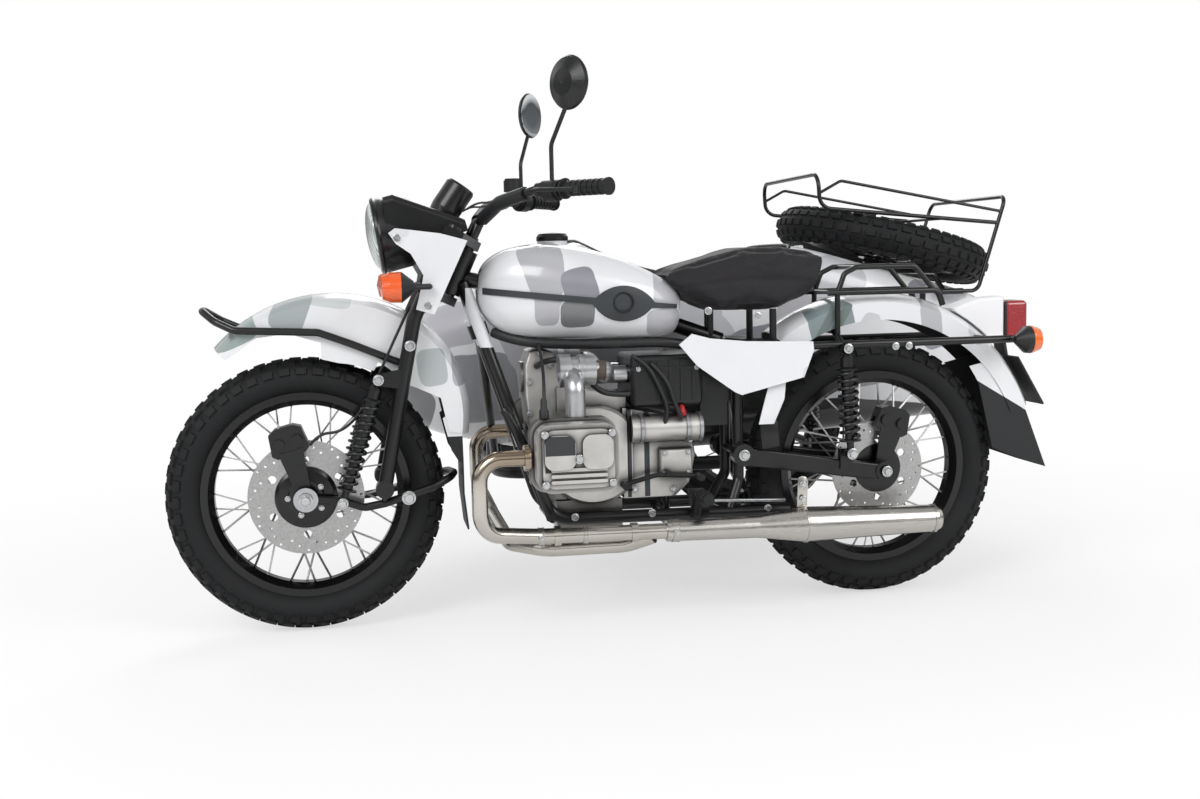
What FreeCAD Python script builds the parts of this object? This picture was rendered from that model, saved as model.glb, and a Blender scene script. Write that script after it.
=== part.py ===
import FreeCAD, Part
import math
import os

os.makedirs("parts", exist_ok=True)
V = FreeCAD.Vector

# Sidecar motorcycle, in millimetres: x forward, y to the rider's left, z up from the ground.
# It is drawn from the ground point midway between the two wheels of the motorcycle.

# Running gear
WHEELBASE = 1470.0
TRACK = 1140.0                  # from the motorcycle's middle plane to the sidecar wheel
TYRE_R = 340.0
TYRE_W = 105.0
BEAD_R = 244.0                  # seat of the tyre on the rim
BEAD_HALF = 27.0
RIM_INNER_R = 222.0
RIM_HALF = 33.0
RIM_LIP = 10.0
SPOKES_PER_SIDE = 18
SPOKE_D = 4.0
HUB_FLANGE_R = 62.0
HUB_FLANGE_Y = 44.0
HUB_HALF = 62.0
HUB_BARREL_R = 36.0
AXLE_R = 10.0
RUN_FIT = 0.05                  # radial play of a shaft in its bore
SEAT_GAP = 0.3                  # pieces that rest on each other
MOVE_GAP = 6.0                  # pieces that move past each other

# Brakes
DISC_THICK = 5.0
FRONT_DISC_R = 140.0
REAR_DISC_R = 124.0
DISC_HOLES = 36
HUB_COVER_R = 75.0
DISC_FACE_Y = 56.0              # inner face of a disc, from the wheel's middle plane

# Steering
RAKE = 25.0
HEAD_X, HEAD_Z = 345.0, 880.0   # middle of the steering head
HEAD_HALF = 58.0
HEAD_R = 30.0
STEM_R = 18.0
CLAMP_THICK = 22.0
LEG_Y = 120.0
LEG_R = 17.5
LEG_AHEAD = 55.0                # upper legs ahead of the steering axis
LEG_BEND_DROP = 150.0           # along the axis, from the head's middle to the bend
PIVOT_X, PIVOT_Z = 546.0, 360.0
ARM_Y = 92.0
ARM_R = 10.0
FRONT_SHOCK_X, FRONT_SHOCK_Z = 647.0, 331.0
FRONT_SHOCK_TOP_X, FRONT_SHOCK_TOP_Z = 552.0, 625.0

# Handlebar and mirrors
BAR_R = 11.0
BAR_HALF = 420.0
GRIP_R = 17.0
SWITCH_R = 21.0
MIRROR_R = 61.0
MIRROR_Y = 345.0
MIRROR_Z = 1298.0

# Headlamp
LAMP_X, LAMP_Z = 535.0, 971.0
LAMP_R = 92.0
LAMP_DROP = 8.0                 # degrees that the beam points down
LAMP_DEPTH = 150.0
NACELLE_HALF = 88.0
EAR_Y = 147.0                   # inner face of the panel beside the headlamp

# Fenders
SHEET = 3.0
FRONT_FENDER_HALF = 74.0
FRONT_FENDER_R = 377.0
FRONT_FENDER_X, FRONT_FENDER_Z = 660.0, 457.0
FRONT_FENDER_SEAM = 118.0       # degrees above the front, where the tighter tail begins
FRONT_TAIL_R = 296.0
FLAP_THICK = 4.0
REAR_FENDER_HALF = 80.0
REAR_FENDER_R = 462.0
REAR_FENDER_END = 160.0
SIDE_FENDER_HALF = 84.0
SIDE_FENDER_R = 405.0

# Frame
FRAME_R = 16.0
RAIL_Z = 256.0
RAIL_Y = 92.0
RAIL_END_X = -480.0
DOWNTUBE_FOOT_X = 138.0
DOWNTUBE_TOP = V(334, 20, 850)
BACKBONE_R = 20.0
SUBRAIL_R = 10.0
SUBRAIL_Y = 130.0
SUBRAIL_Z = 672.0
SUBRAIL_END_X = -1087.0
HOOP_Z = 704.0                  # cross hoop under the rear fender
SWING_PIVOT_X, SWING_PIVOT_Z = -356.0, 399.0
SWING_Y = 102.0
SWING_R = 16.0
REAR_SHOCK_Y = 154.0
REAR_SHOCK_X, REAR_SHOCK_FOOT_Z = -627.0, 396.0
REAR_CALIPER_TURN = -16.0       # degrees ahead of the axle's upright
SIDE_CALIPER_TURN = -30.0
FRONT_CALIPER_TURN = 15.0
REAR_SHOCK_TOP_X, REAR_SHOCK_TOP_Z = -617.0, 664.0

STAND_X = -170.0
STAND_PIN_R = 10.0
STAND_LUG_Y = 66.0
PEG_X, PEG_Z = -222.0, 318.0

# Engine
CRANK_Z = 445.0
CRANKCASE_FRONT_X = 112.0
CRANKCASE_REAR_X = -60.0
CRANKCASE_HALF = 92.0
GEARBOX_BOTTOM_Z = 298.0
SUMP_HALF = 60.0
AIR_BOX_FRONT_X = -72.0
CYLINDER_X = 95.0
CYLINDER_OFFSET = 12.0          # left cylinder ahead, right one behind
BARREL_R = 58.0
FIN_R = 82.0
FIN_PITCH = 15.0
FIN_COUNT = 9
HEAD_FACE_Y = 236.0
COVER_FACE_Y = 300.0
COVER_OUT_Y = 368.0

# Exhaust
PIPE_R = 19.0
MUFFLER_Y = 205.0
MUFFLER_JOINT_X = -130.0
MUFFLER_SEAM_X = -483.0
MUFFLER_END_X = -843.0
MUFFLER_R = 44.0

# Tank and saddle
TANK_HALF = 152.0
TANK_BOTTOM_Z = 704.0
CAP_X, CAP_Z = 104.0, 950.0
SADDLE_HALF = 128.0
SEAT_RACK_Y = 90.0

# Sidecar
SIDE_Y = -720.0                 # middle of the sidecar's body
SIDE_HALF = 300.0
SIDE_FLOOR_Z = 337.0
SIDE_WALL = 4.0
NOSE_X = 500.0
TAIL_X = -1335.0
COWL_X = -40.0
DECK_X = -690.0
DECK_Z = 931.0
DECK_SLOPE = 14.4               # degrees, falling to the rear
CHASSIS_Z = 300.0
CHASSIS_R = 20.0
CHASSIS_NEAR_Y = -430.0
CHASSIS_FAR_Y = -985.0
CHASSIS_FRONT_X = 210.0
CHASSIS_REAR_X = -560.0
SIDE_SHOCK_X, SIDE_SHOCK_TOP_Z = -600.0, 620.0

# Trunk lid, spare wheel and rack
LID_FRONT_X = -742.0
LID_REAR_X = -1235.0
LID_HALF = 205.0
LID_GAP = 6.0
HINGE_R = 6.0
HINGE_PIN_R = 3.0
HINGE_BACK, HINGE_UP = 51.0, 8.0     # hinge line behind the deck's front edge and over its skin
HINGE_PLACES = (-130.0, 130.0)
SPARE_X, SPARE_Z = -1060.0, 926.0
RACK_R = 6.0
RACK_HALF = 269.0
RACK_FRONT_X, RACK_FRONT_TOP_Z = -757.0, 1139.0
RACK_REAR_X, RACK_REAR_TOP_Z = -1351.0, 1065.0
RACK_FRONT_Z, RACK_REAR_Z = 1040.0, 984.0     # rails, front and rear
SOCKET_X, SOCKET_Z = -1153.0, 783.0

# Middle of the whole outfit on the ground, which is the part's origin
FRONT_REACH = WHEELBASE / 2 + TYRE_R
REAR_REACH = SPARE_X - TYRE_R * math.cos(math.radians(DECK_SLOPE)) - 5.0
LEFT_REACH = BAR_HALF + 5.0
RIGHT_REACH = -TRACK - SIDE_FENDER_HALF
SIDE_ARM_Y = -TRACK + HUB_HALF + 22.0
SIDE_SHOCK_Y = SIDE_ARM_Y - 2.0
SADDLE_BASE_Z = 768.0
COVER_Y = SUBRAIL_Y + 16.0
STAND_Z = RAIL_Z - FRAME_R - 14.0
TUNNEL_SLOPE = 112.0 / 490.0
ORIGIN = V((FRONT_REACH + REAR_REACH) / 2, (LEFT_REACH + RIGHT_REACH) / 2, 0)

SIDES = (1, -1)
FRONT_AXLE = V(WHEELBASE / 2, 0, TYRE_R)
REAR_AXLE = V(-WHEELBASE / 2, 0, TYRE_R)
SIDE_AXLE = V(-WHEELBASE / 2, -TRACK, TYRE_R)
RAKE_UP = V(-math.sin(math.radians(RAKE)), 0, math.cos(math.radians(RAKE)))
RAKE_AHEAD = V(math.cos(math.radians(RAKE)), 0, math.sin(math.radians(RAKE)))


def tunnel_top(x):
    """Top of the tank's tunnel over the backbone."""
    return 896.0 - (340.0 - x) * TUNNEL_SLOPE


def fuse(solids):
    return solids[0].multiFuse(solids[1:]).removeSplitter() if len(solids) > 1 else solids[0]


def apart(solids):
    return Part.makeCompound(solids)


def rod(start, end, radius):
    run = end - start
    return Part.makeCylinder(radius, run.Length, start, run)


def tube(points, radius, bend):
    """Round bar along straight runs joined by tangent arcs."""
    edges, start = [], points[0]
    for before, corner, after in zip(points, points[1:], points[2:]):
        back = (before - corner).normalize()
        ahead = (after - corner).normalize()
        half_turn = (math.pi - back.getAngle(ahead)) / 2
        room = 0.45 * min((before - corner).Length, (after - corner).Length)
        arc_r = min(bend, room / math.tan(half_turn))
        reach = arc_r * math.tan(half_turn)
        first, last = corner + back * reach, corner + ahead * reach
        middle = corner + (back + ahead).normalize() * (arc_r / math.cos(half_turn) - arc_r)
        edges.append(Part.LineSegment(start, first).toShape())
        edges.append(Part.Arc(first, middle, last).toShape())
        start = last
    edges.append(Part.LineSegment(start, points[-1]).toShape())
    ring = Part.Wire(Part.makeCircle(radius, points[0], points[1] - points[0]))
    return Part.Wire(edges).makePipeShell([ring], True, True)


def turned(profile, centre, axis=V(0, 1, 0)):
    """Solid turned from (radius, place along the axis) points about an axis through the centre."""
    outline = [V(radius, place, 0) for radius, place in profile]
    face = Part.Face(Part.makePolygon(outline + outline[:1]))
    solid = face.revolve(V(0, 0, 0), V(0, 1, 0), 360)
    solid.Placement = FreeCAD.Placement(centre, FreeCAD.Rotation(V(0, 1, 0), axis))
    return solid


def plate(outline, y, thickness):
    """Flat plate from a side outline of (x, z) points, from y outwards along +y or -y."""
    corners = [V(x, y, z) for x, z in outline]
    return Part.Face(Part.makePolygon(corners + corners[:1])).extrude(V(0, thickness, 0))


def block(x0, x1, y0, y1, z0, z1):
    return Part.makeBox(x1 - x0, y1 - y0, z1 - z0, V(x0, y0, z0))


def mirrored(shape):
    return shape.mirror(V(0, 0, 0), V(0, 1, 0))


def mirror_point(point):
    return V(point.x, -point.y, point.z)


def round_section(x, y, half, z0, z1, corner):
    """Rounded rectangle across the vehicle, as a closed wire."""
    corner = min(corner, 0.98 * half, 0.49 * (z1 - z0))
    low, high, left, right = z0 + corner, z1 - corner, y - half, y + half
    diagonal = corner * (1 - math.sqrt(0.5))

    def at(py, pz):
        return V(x, py, pz)

    edges = [
        Part.LineSegment(at(left, low), at(left, high)),
        Part.Arc(at(left, high), at(left + diagonal, z1 - diagonal), at(left + corner, z1)),
        Part.LineSegment(at(left + corner, z1), at(right - corner, z1)),
        Part.Arc(at(right - corner, z1), at(right - diagonal, z1 - diagonal), at(right, high)),
        Part.LineSegment(at(right, high), at(right, low)),
        Part.Arc(at(right, low), at(right - diagonal, z0 + diagonal), at(right - corner, z0)),
        Part.LineSegment(at(right - corner, z0), at(left + corner, z0)),
        Part.Arc(at(left + corner, z0), at(left + diagonal, z0 + diagonal), at(left, low)),
    ]
    return Part.Wire([edge.toShape() for edge in edges])


def on_axis(along, ahead, y):
    """Point at a place along the steering axis, ahead of it and to the side."""
    return V(HEAD_X, y, HEAD_Z) + RAKE_UP * along + RAKE_AHEAD * ahead


def hub_cover():
    """Dished cover over the left end of the front hub, with five bolt heads."""
    face = DISC_FACE_Y + DISC_THICK
    bore = AXLE_R + 4
    pieces = [turned([(bore, face - 1), (HUB_COVER_R, face - 1), (HUB_COVER_R, face + 5), (HUB_COVER_R - 8, face + 9),
                      (HUB_COVER_R - 30, face + 11), (HUB_COVER_R - 34, face + 14), (bore, face + 14)],
                     V(0, 0, 0))]
    for number in range(5):
        turn = math.radians(72 * number)
        spot = V(44 * math.cos(turn), face + 5, 44 * math.sin(turn))
        pieces.append(rod(spot, spot + V(0, 9, 0), 5))
    return fuse(pieces)


def brake_disc(face, radius, outward):
    """Disc with a ring of slots, on a carrier with round windows."""
    carrier_r = radius - 34
    disc = turned([(HUB_BARREL_R, face), (radius, face), (radius, face + outward * DISC_THICK),
                   (HUB_BARREL_R, face + outward * DISC_THICK)], V(0, 0, 0))
    holes = []
    for number in range(DISC_HOLES):
        turn = 2 * math.pi * number / DISC_HOLES
        reach = radius - 8 - 18 * (number % 3) / 2
        spot = V(reach * math.cos(turn), face - 10, reach * math.sin(turn))
        holes.append(rod(spot, spot + V(0, 20, 0), 3.2))
    for number in range(6):
        turn = math.pi * (number + 0.5) / 3
        spot = V((carrier_r - 14) * math.cos(turn), face - 10, (carrier_r - 14) * math.sin(turn))
        holes.append(rod(spot, spot + V(0, 20, 0), 10))
    return disc.cut(holes)


def wire_wheel(axle, discs, covered=False):
    """Rim, hub, crossed spokes and brake discs, given as (side, disc radius)."""
    rim = turned([(BEAD_R + RIM_LIP, -RIM_HALF), (BEAD_R + RIM_LIP, -BEAD_HALF - SEAT_GAP),
                  (BEAD_R, -BEAD_HALF - SEAT_GAP), (BEAD_R, BEAD_HALF + SEAT_GAP),
                  (BEAD_R + RIM_LIP, BEAD_HALF + SEAT_GAP), (BEAD_R + RIM_LIP, RIM_HALF),
                  (RIM_INNER_R + 14, RIM_HALF), (RIM_INNER_R, 14), (RIM_INNER_R, -14),
                  (RIM_INNER_R + 14, -RIM_HALF)], V(0, 0, 0))
    bore = AXLE_R + RUN_FIT
    hub = turned([(bore, -HUB_HALF), (HUB_BARREL_R + 8, -HUB_HALF),
                  (HUB_BARREL_R + 8, -HUB_FLANGE_Y - 4),
                  (HUB_FLANGE_R, -HUB_FLANGE_Y - 4), (HUB_FLANGE_R, -HUB_FLANGE_Y + 4),
                  (HUB_BARREL_R, -HUB_FLANGE_Y + 10), (HUB_BARREL_R, HUB_FLANGE_Y - 10),
                  (HUB_FLANGE_R, HUB_FLANGE_Y - 4), (HUB_FLANGE_R, HUB_FLANGE_Y + 4),
                  (HUB_BARREL_R + 8, HUB_FLANGE_Y + 4), (HUB_BARREL_R + 8, HUB_HALF),
                  (bore, HUB_HALF)], V(0, 0, 0))
    pieces = [rim, hub]
    for side in SIDES:
        for number in range(SPOKES_PER_SIDE):
            turn = 360.0 / SPOKES_PER_SIDE * (number + 0.25 * side)
            lean = 58.0 if number % 2 else -58.0
            pieces.append(spoke(turn, turn + lean, side))
    for side, radius in discs:
        pieces.append(brake_disc(side * DISC_FACE_Y, radius, side))
    if covered:
        pieces.append(hub_cover())
    wheel = fuse(pieces)
    wheel.translate(axle)
    return wheel


def spoke(hub_turn, rim_turn, side):
    inner, outer = HUB_FLANGE_R - 5, RIM_INNER_R + 5
    start = V(inner * math.cos(math.radians(hub_turn)), side * HUB_FLANGE_Y,
              inner * math.sin(math.radians(hub_turn)))
    end = V(outer * math.cos(math.radians(rim_turn)), side * 6, outer * math.sin(math.radians(rim_turn)))
    run = end - start
    bar = Part.makeBox(SPOKE_D, SPOKE_D, run.Length, V(-SPOKE_D / 2, -SPOKE_D / 2, 0))
    bar.Placement = FreeCAD.Placement(start, FreeCAD.Rotation(V(0, 0, 1), run))
    return bar


def tyre(axle):
    """Solid ring of rubber on its rim, with a round crown and bulging walls."""
    bead, half = BEAD_R + SEAT_GAP, TYRE_W / 2
    quarter = [(bead, BEAD_HALF), (BEAD_R + RIM_LIP + 1, BEAD_HALF), (BEAD_R + 24, half - 8),
               (BEAD_R + 50, half),
               (TYRE_R - 24, half - 4), (TYRE_R - 5, half - 22)]
    profile = [(radius, -place) for radius, place in quarter] + [(TYRE_R, 0)]
    profile += list(reversed(quarter))
    return turned(profile, axle)


def rear_hoop(radius):
    """Hoop across the rear rails, under the fender."""
    points = [V(REAR_SHOCK_TOP_X, -SUBRAIL_Y, SUBRAIL_Z), V(REAR_SHOCK_TOP_X, -60, HOOP_Z),
              V(REAR_SHOCK_TOP_X, 60, HOOP_Z), V(REAR_SHOCK_TOP_X, SUBRAIL_Y, SUBRAIL_Z)]
    return tube(points, radius, 30)


def frame():
    """Double cradle with backbone, steering head, rear rails and the lugs that carry the rest."""
    pieces = []
    rail_x = DOWNTUBE_FOOT_X
    for side in SIDES:
        pieces.append(tube([V(DOWNTUBE_TOP.x, side * DOWNTUBE_TOP.y, DOWNTUBE_TOP.z),
                            V(rail_x, side * (RAIL_Y - 4), RAIL_Z),
                            V(RAIL_END_X, side * (RAIL_Y + 4), RAIL_Z - 6)], FRAME_R, 70))
        pieces.append(tube([V(-322, side * RAIL_Y, RAIL_Z), V(SWING_PIVOT_X, side * 64, 330),
                            V(SWING_PIVOT_X, side * 64, 590), V(-400, side * 84, SUBRAIL_Z)],
                           FRAME_R - 2, 40))
        pieces.append(tube([V(-330, side * 60, SUBRAIL_Z + 14), V(-420, side * 100, SUBRAIL_Z),
                            V(-520, side * SUBRAIL_Y, SUBRAIL_Z),
                            V(SUBRAIL_END_X, side * SUBRAIL_Y, SUBRAIL_Z)], SUBRAIL_R, 60))
        pieces.append(rod(V(REAR_SHOCK_TOP_X, side * SUBRAIL_Y, REAR_SHOCK_TOP_Z),
                          V(REAR_SHOCK_TOP_X, side * (REAR_SHOCK_Y + 14), REAR_SHOCK_TOP_Z), 7))
        pieces.append(rod(V(-1000, side * SUBRAIL_Y, 676),
                          V(-1000, side * (REAR_FENDER_HALF + SEAT_GAP), 676), 7))
        pieces.append(rod(V(-383, side * 76, 640), V(-383, side * (COVER_Y - SEAT_GAP), 640), 7))
        pieces.append(rod(V(-300, side * 12, SUBRAIL_Z + 20), V(-300, side * 12, SADDLE_BASE_Z - SEAT_GAP), 9))
        pieces.append(rod(V(-440, side * 104, SUBRAIL_Z), V(-440, side * 104, SADDLE_BASE_Z - SEAT_GAP), 9))
        pieces.append(rod(V(STAND_X, side * 40, RAIL_Z - 2), V(STAND_X, side * 40, GEARBOX_BOTTOM_Z - SEAT_GAP), 8))
        pieces.append(rod(V(10, side * RAIL_Y, RAIL_Z), V(10, side * (SUMP_HALF + SEAT_GAP), RAIL_Z), 9))
        pieces.append(block(STAND_X - 14, STAND_X + 14, side * STAND_LUG_Y - 5, side * STAND_LUG_Y + 5,
                            STAND_Z - 15, RAIL_Z))
    pieces.append(tube([V(350, 0, 866), V(-150, 0, 752), V(-330, 0, SUBRAIL_Z + 14)], BACKBONE_R, 80))
    pieces.append(rod(on_axis(-HEAD_HALF, 0, 0), on_axis(HEAD_HALF, 0, 0), HEAD_R))
    for x in (150, -60):
        pieces.append(rod(V(x, 0, tunnel_top(x) - 30), V(x, 0, tunnel_top(x) - 12 * TUNNEL_SLOPE - SEAT_GAP), 12))
    for x, z, half in ((rail_x - 4, RAIL_Z, RAIL_Y - 4), (STAND_X, RAIL_Z - 2, RAIL_Y), (-322, RAIL_Z, RAIL_Y),
                       (SWING_PIVOT_X, SWING_PIVOT_Z, 70), (-330, SUBRAIL_Z + 14, 62)):
        pieces.append(rod(V(x, -half, z), V(x, half, z), SUBRAIL_R))
    pieces.append(rod(V(SWING_PIVOT_X, -SWING_Y - 22, SWING_PIVOT_Z),
                      V(SWING_PIVOT_X, SWING_Y + 22, SWING_PIVOT_Z), 8))
    hoop_z = HOOP_Z
    pieces.append(rear_hoop(SUBRAIL_R - 2))
    drop = REAR_SHOCK_TOP_X - REAR_AXLE.x
    fender_z = REAR_AXLE.z + math.sqrt((REAR_FENDER_R - SHEET) ** 2 - (drop + 7) ** 2)
    pieces.append(rod(V(REAR_SHOCK_TOP_X, 0, hoop_z), V(REAR_SHOCK_TOP_X, 0, fender_z - SEAT_GAP), 7))
    shape = fuse(pieces)
    shape = shape.cut(rod(on_axis(-HEAD_HALF - 40, 0, 0), on_axis(HEAD_HALF + 40, 0, 0), STEM_R + RUN_FIT))
    return shape.cut(rod(V(STAND_X, -120, STAND_Z), V(STAND_X, 120, STAND_Z), STAND_PIN_R + RUN_FIT))


def engine_case():
    """Crankcase, timing tower in front, sump below, gearbox and starter behind, in one casting."""
    case = turned([(0, -CRANKCASE_HALF), (118, -CRANKCASE_HALF), (126, -CRANKCASE_HALF + 8),
                   (126, CRANKCASE_HALF - 8), (118, CRANKCASE_HALF), (0, CRANKCASE_HALF)],
                  V((CRANKCASE_FRONT_X + CRANKCASE_REAR_X) / 2, 0, CRANK_Z - 32))
    case = case.common(block(CRANKCASE_REAR_X, CRANKCASE_FRONT_X, -CRANKCASE_HALF, CRANKCASE_HALF,
                             RAIL_Z + 34, CRANK_Z + 90))
    tower = plate([(CRANKCASE_FRONT_X - 20, 300), (156, 300), (172, 330), (182, 480), (190, 560),
                   (190, 640), (178, 676), (150, 686), (122, 676), (112, 650), (CRANKCASE_FRONT_X - 20, 560)],
                  -58, 116)
    tower = tower.makeFillet(7, [edge for edge in tower.Edges if edge.BoundBox.YLength < 1
                                 and edge.BoundBox.XMin > CRANKCASE_FRONT_X])
    pulley = rod(V(186, 0, 610), V(197, 0, 610), 40)
    crank_cap = rod(V(170, 0, CRANK_Z), V(190, 0, CRANK_Z), 46)
    flange = turned([(0, 0), (134, 0), (134, 12), (0, 12)], V(CRANKCASE_REAR_X - 2, 0, CRANK_Z - 20), V(-1, 0, 0))
    flange = flange.common(block(-90, -50, -88, 88, GEARBOX_BOTTOM_Z, CRANK_Z + 78))
    sump = block(CRANKCASE_REAR_X + 10, 118, -SUMP_HALF, SUMP_HALF, RAIL_Z - 32, RAIL_Z + 40)
    fins = [block(CRANKCASE_REAR_X + 16 + 24 * number, CRANKCASE_REAR_X + 22 + 24 * number, -SUMP_HALF + 4,
                  SUMP_HALF - 4, RAIL_Z - 40, RAIL_Z) for number in range(7)]
    gearbox = plate([(CRANKCASE_REAR_X + 8, GEARBOX_BOTTOM_Z), (-188, GEARBOX_BOTTOM_Z), (-224, 330), (-240, 400),
                     (-236, 440), (-200, 500), (CRANKCASE_REAR_X + 8, 528)], -78, 156)
    gearbox = gearbox.makeFillet(10, [edge for edge in gearbox.Edges if edge.BoundBox.YLength < 1
                                      and edge.BoundBox.XMax < -100])
    pedal_box = block(-228, -142, 70, 98, 349, 422)
    pedal_box = pedal_box.makeFillet(10, [edge for edge in pedal_box.Edges if edge.BoundBox.YMin > 90])
    starter = rod(V(CRANKCASE_REAR_X - 10, 84, 474), V(-252, 84, 474), 35)
    shelf = plate([(112, 515), (112, 585), (-64, 560), (-64, 510)], -62, 124)
    return fuse([case, tower, pulley, crank_cap, flange, sump, gearbox, pedal_box, starter, shelf] + fins)


def cylinder(side):
    """Finned barrel, head with its fins, and ribbed rocker cover of one side."""
    x = CYLINDER_X + side * CYLINDER_OFFSET
    start = CRANKCASE_HALF + SEAT_GAP
    centre = V(x, 0, CRANK_Z)
    profile = [(0, start), (BARREL_R, start)]
    for number in range(FIN_COUNT):
        place = start + 8 + number * FIN_PITCH
        profile += [(BARREL_R, place), (FIN_R, place), (FIN_R, place + 4), (BARREL_R, place + 4)]
    profile += [(BARREL_R, HEAD_FACE_Y), (0, HEAD_FACE_Y)]
    barrel = turned([(radius, side * place) for radius, place in profile], centre)
    half_x, half_z = 96.0, 80.0
    pieces = [barrel]
    pieces.append(rounded_block(x, CRANK_Z, half_x - 10, half_z - 8, 30, HEAD_FACE_Y, COVER_FACE_Y, side))
    for number in range(5):
        place = HEAD_FACE_Y + 2 + number * 11
        pieces.append(rounded_block(x, CRANK_Z, half_x + 6, half_z + 6, 34, place, place + 4, side))
    pieces.append(rounded_block(x, CRANK_Z, half_x, half_z, 36, COVER_FACE_Y - 2, COVER_OUT_Y - 20, side))
    pieces.append(rounded_block(x, CRANK_Z, half_x - 12, half_z - 12, 30, COVER_OUT_Y - 20, COVER_OUT_Y - 8, side))
    for lobe in (-44, 44):
        pieces.append(rounded_block(x + lobe, CRANK_Z + 16, 36, 40, 22, COVER_OUT_Y - 8, COVER_OUT_Y, side))
    for row in (-24, -38, -52):
        pieces.append(rounded_block(x, CRANK_Z + row, 66, 4, 3.5, COVER_OUT_Y - 8, COVER_OUT_Y - 2, side))
    for along, up in ((-78, 58), (78, 58), (-78, -58), (78, -58), (0, 0)):
        pieces.append(rounded_block(x + along, CRANK_Z + up, 9, 9, 8.5, COVER_FACE_Y, COVER_OUT_Y - 4, side))
    return fuse(pieces)


def rounded_block(x, z, half_x, half_z, corner, y0, y1, side):
    """Block across the vehicle with a rounded side outline."""
    box = block(x - half_x, x + half_x, 0, y1 - y0, z - half_z, z + half_z)
    edges = [edge for edge in box.Edges if abs(edge.Vertexes[0].Y - edge.Vertexes[1].Y) > 1]
    box = box.makeFillet(corner, edges)
    box.translate(V(0, y0 if side > 0 else -y1, 0))
    return box


def throttle_body(side):
    """Throttle body over one cylinder, with its stub down to the head and its duct to the air box."""
    x = CYLINDER_X + side * CYLINDER_OFFSET
    y = side * 190
    bore = turned([(0, -88), (36, -88), (36, -60), (39, -58), (39, -48), (33, -46), (33, -30), (40, -28), (40, 0),
                   (30, 0), (30, -12), (0, -12)], V(x + 18, y, 636), V(1, 0, 0))
    stub = tube([V(x - 12, y, 634), V(x - 12, y + side * 60, 606),
                 V(x - 12, y + side * 60, CRANK_Z + 86 + SEAT_GAP)], 24, 30)
    duct = tube([V(x - 20, y, 636), V(x - 96, y, 636), V(-14, side * 52, 612),
                 V(AIR_BOX_FRONT_X + SEAT_GAP, side * 52, 612)], 22, 28)
    return fuse([bore, stub, duct])


def air_box():
    """Ribbed air box behind the throttle bodies and the battery box against its back."""
    box = block(-258, AIR_BOX_FRONT_X, -98, 98, 529, 660)
    box = box.makeFillet(14, box.Edges)
    ribs = [block(x, x + 7, -101, 101, 545, 644) for x in (-235, -205, -175, -145)]
    lid = block(-262, AIR_BOX_FRONT_X + 4, -102, 102, 622, 630)
    battery = block(-334, -262 - SEAT_GAP, -46, 46, 470, 640)
    return [fuse([box, lid] + ribs), battery]


def intake():
    return apart([throttle_body(side) for side in SIDES] + air_box())


def pipe_collar(point, direction):
    """Clamp ring round an exhaust pipe."""
    half = direction.normalize() * 8
    return rod(point - half, point + half, PIPE_R + 5)


def exhaust_pipes():
    """Two header pipes that join ahead of the muffler, the right one crossing below the engine."""
    y = 268.0
    level = V(1, 0, 0)
    left_head = V(CYLINDER_X + CYLINDER_OFFSET + 102.4, y, 440)
    right_head = V(CYLINDER_X - CYLINDER_OFFSET + 102.4, -y, 440)
    left = tube([left_head, V(330, y, 440), V(330, y, 262),
                 V(180, MUFFLER_Y, 238), V(MUFFLER_JOINT_X, MUFFLER_Y, 234)], PIPE_R, 60)
    right = tube([right_head, V(290, -y, 440), V(290, -y, 300),
                  V(262, -150, 236), V(240, 60, 196), V(160, MUFFLER_Y - 46, 196),
                  V(MUFFLER_JOINT_X + 90, MUFFLER_Y - 46, 196),
                  V(MUFFLER_JOINT_X + 30, MUFFLER_Y - 10, 222)], PIPE_R, 60)
    collars = [rod(head, head + V(14, 0, 0), PIPE_R + 12) for head in (left_head, right_head)]
    collars += [pipe_collar(V(140, MUFFLER_Y, 237.5), level), pipe_collar(V(MUFFLER_JOINT_X + 80, MUFFLER_Y, 234.9), level)]
    return fuse([left, right] + collars)


def muffler():
    start = MUFFLER_JOINT_X - SEAT_GAP
    body = turned([(0, 0), (PIPE_R + 7, 0), (PIPE_R + 9, start - MUFFLER_SEAM_X - 120),
                   (MUFFLER_R, start - MUFFLER_SEAM_X), (34, start - MUFFLER_END_X - 12),
                   (28, start - MUFFLER_END_X), (0, start - MUFFLER_END_X)],
                  V(start, MUFFLER_Y, 234), V(-1, 0, -0.01))
    return body


def tank_body(grow):
    """Teardrop of the tank, grown all round by a small distance."""
    stations = [(299, 26, 800, 840, 18), (262, 84, 742, 912, 60), (200, 120, 712, 937, 84),
                (100, 148, 706, 942, 104), (0, TANK_HALF, TANK_BOTTOM_Z, 922, 100),
                (-100, 144, TANK_BOTTOM_Z, 884, 84), (-170, 122, 708, 846, 60), (-205, 80, 740, 812, 30)]
    sections = [round_section(x, 0, half + grow, z0 - grow, z1 + grow, corner + grow)
                for x, half, z0, z1, corner in stations]
    return Part.makeLoft(sections, True, False)


def fuel_tank():
    """Tank with a tunnel over the frame's backbone and a neck under its cap."""
    tunnel = plate([(340, 600), (340, tunnel_top(340)), (-150, tunnel_top(-150)), (-260, tunnel_top(-260)),
                    (-260, 600)], -30, 60)
    neck = rod(V(CAP_X, 0, CAP_Z - 30), V(CAP_X, 0, CAP_Z), 38)
    return fuse([tank_body(0), neck]).cut(tunnel)


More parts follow.
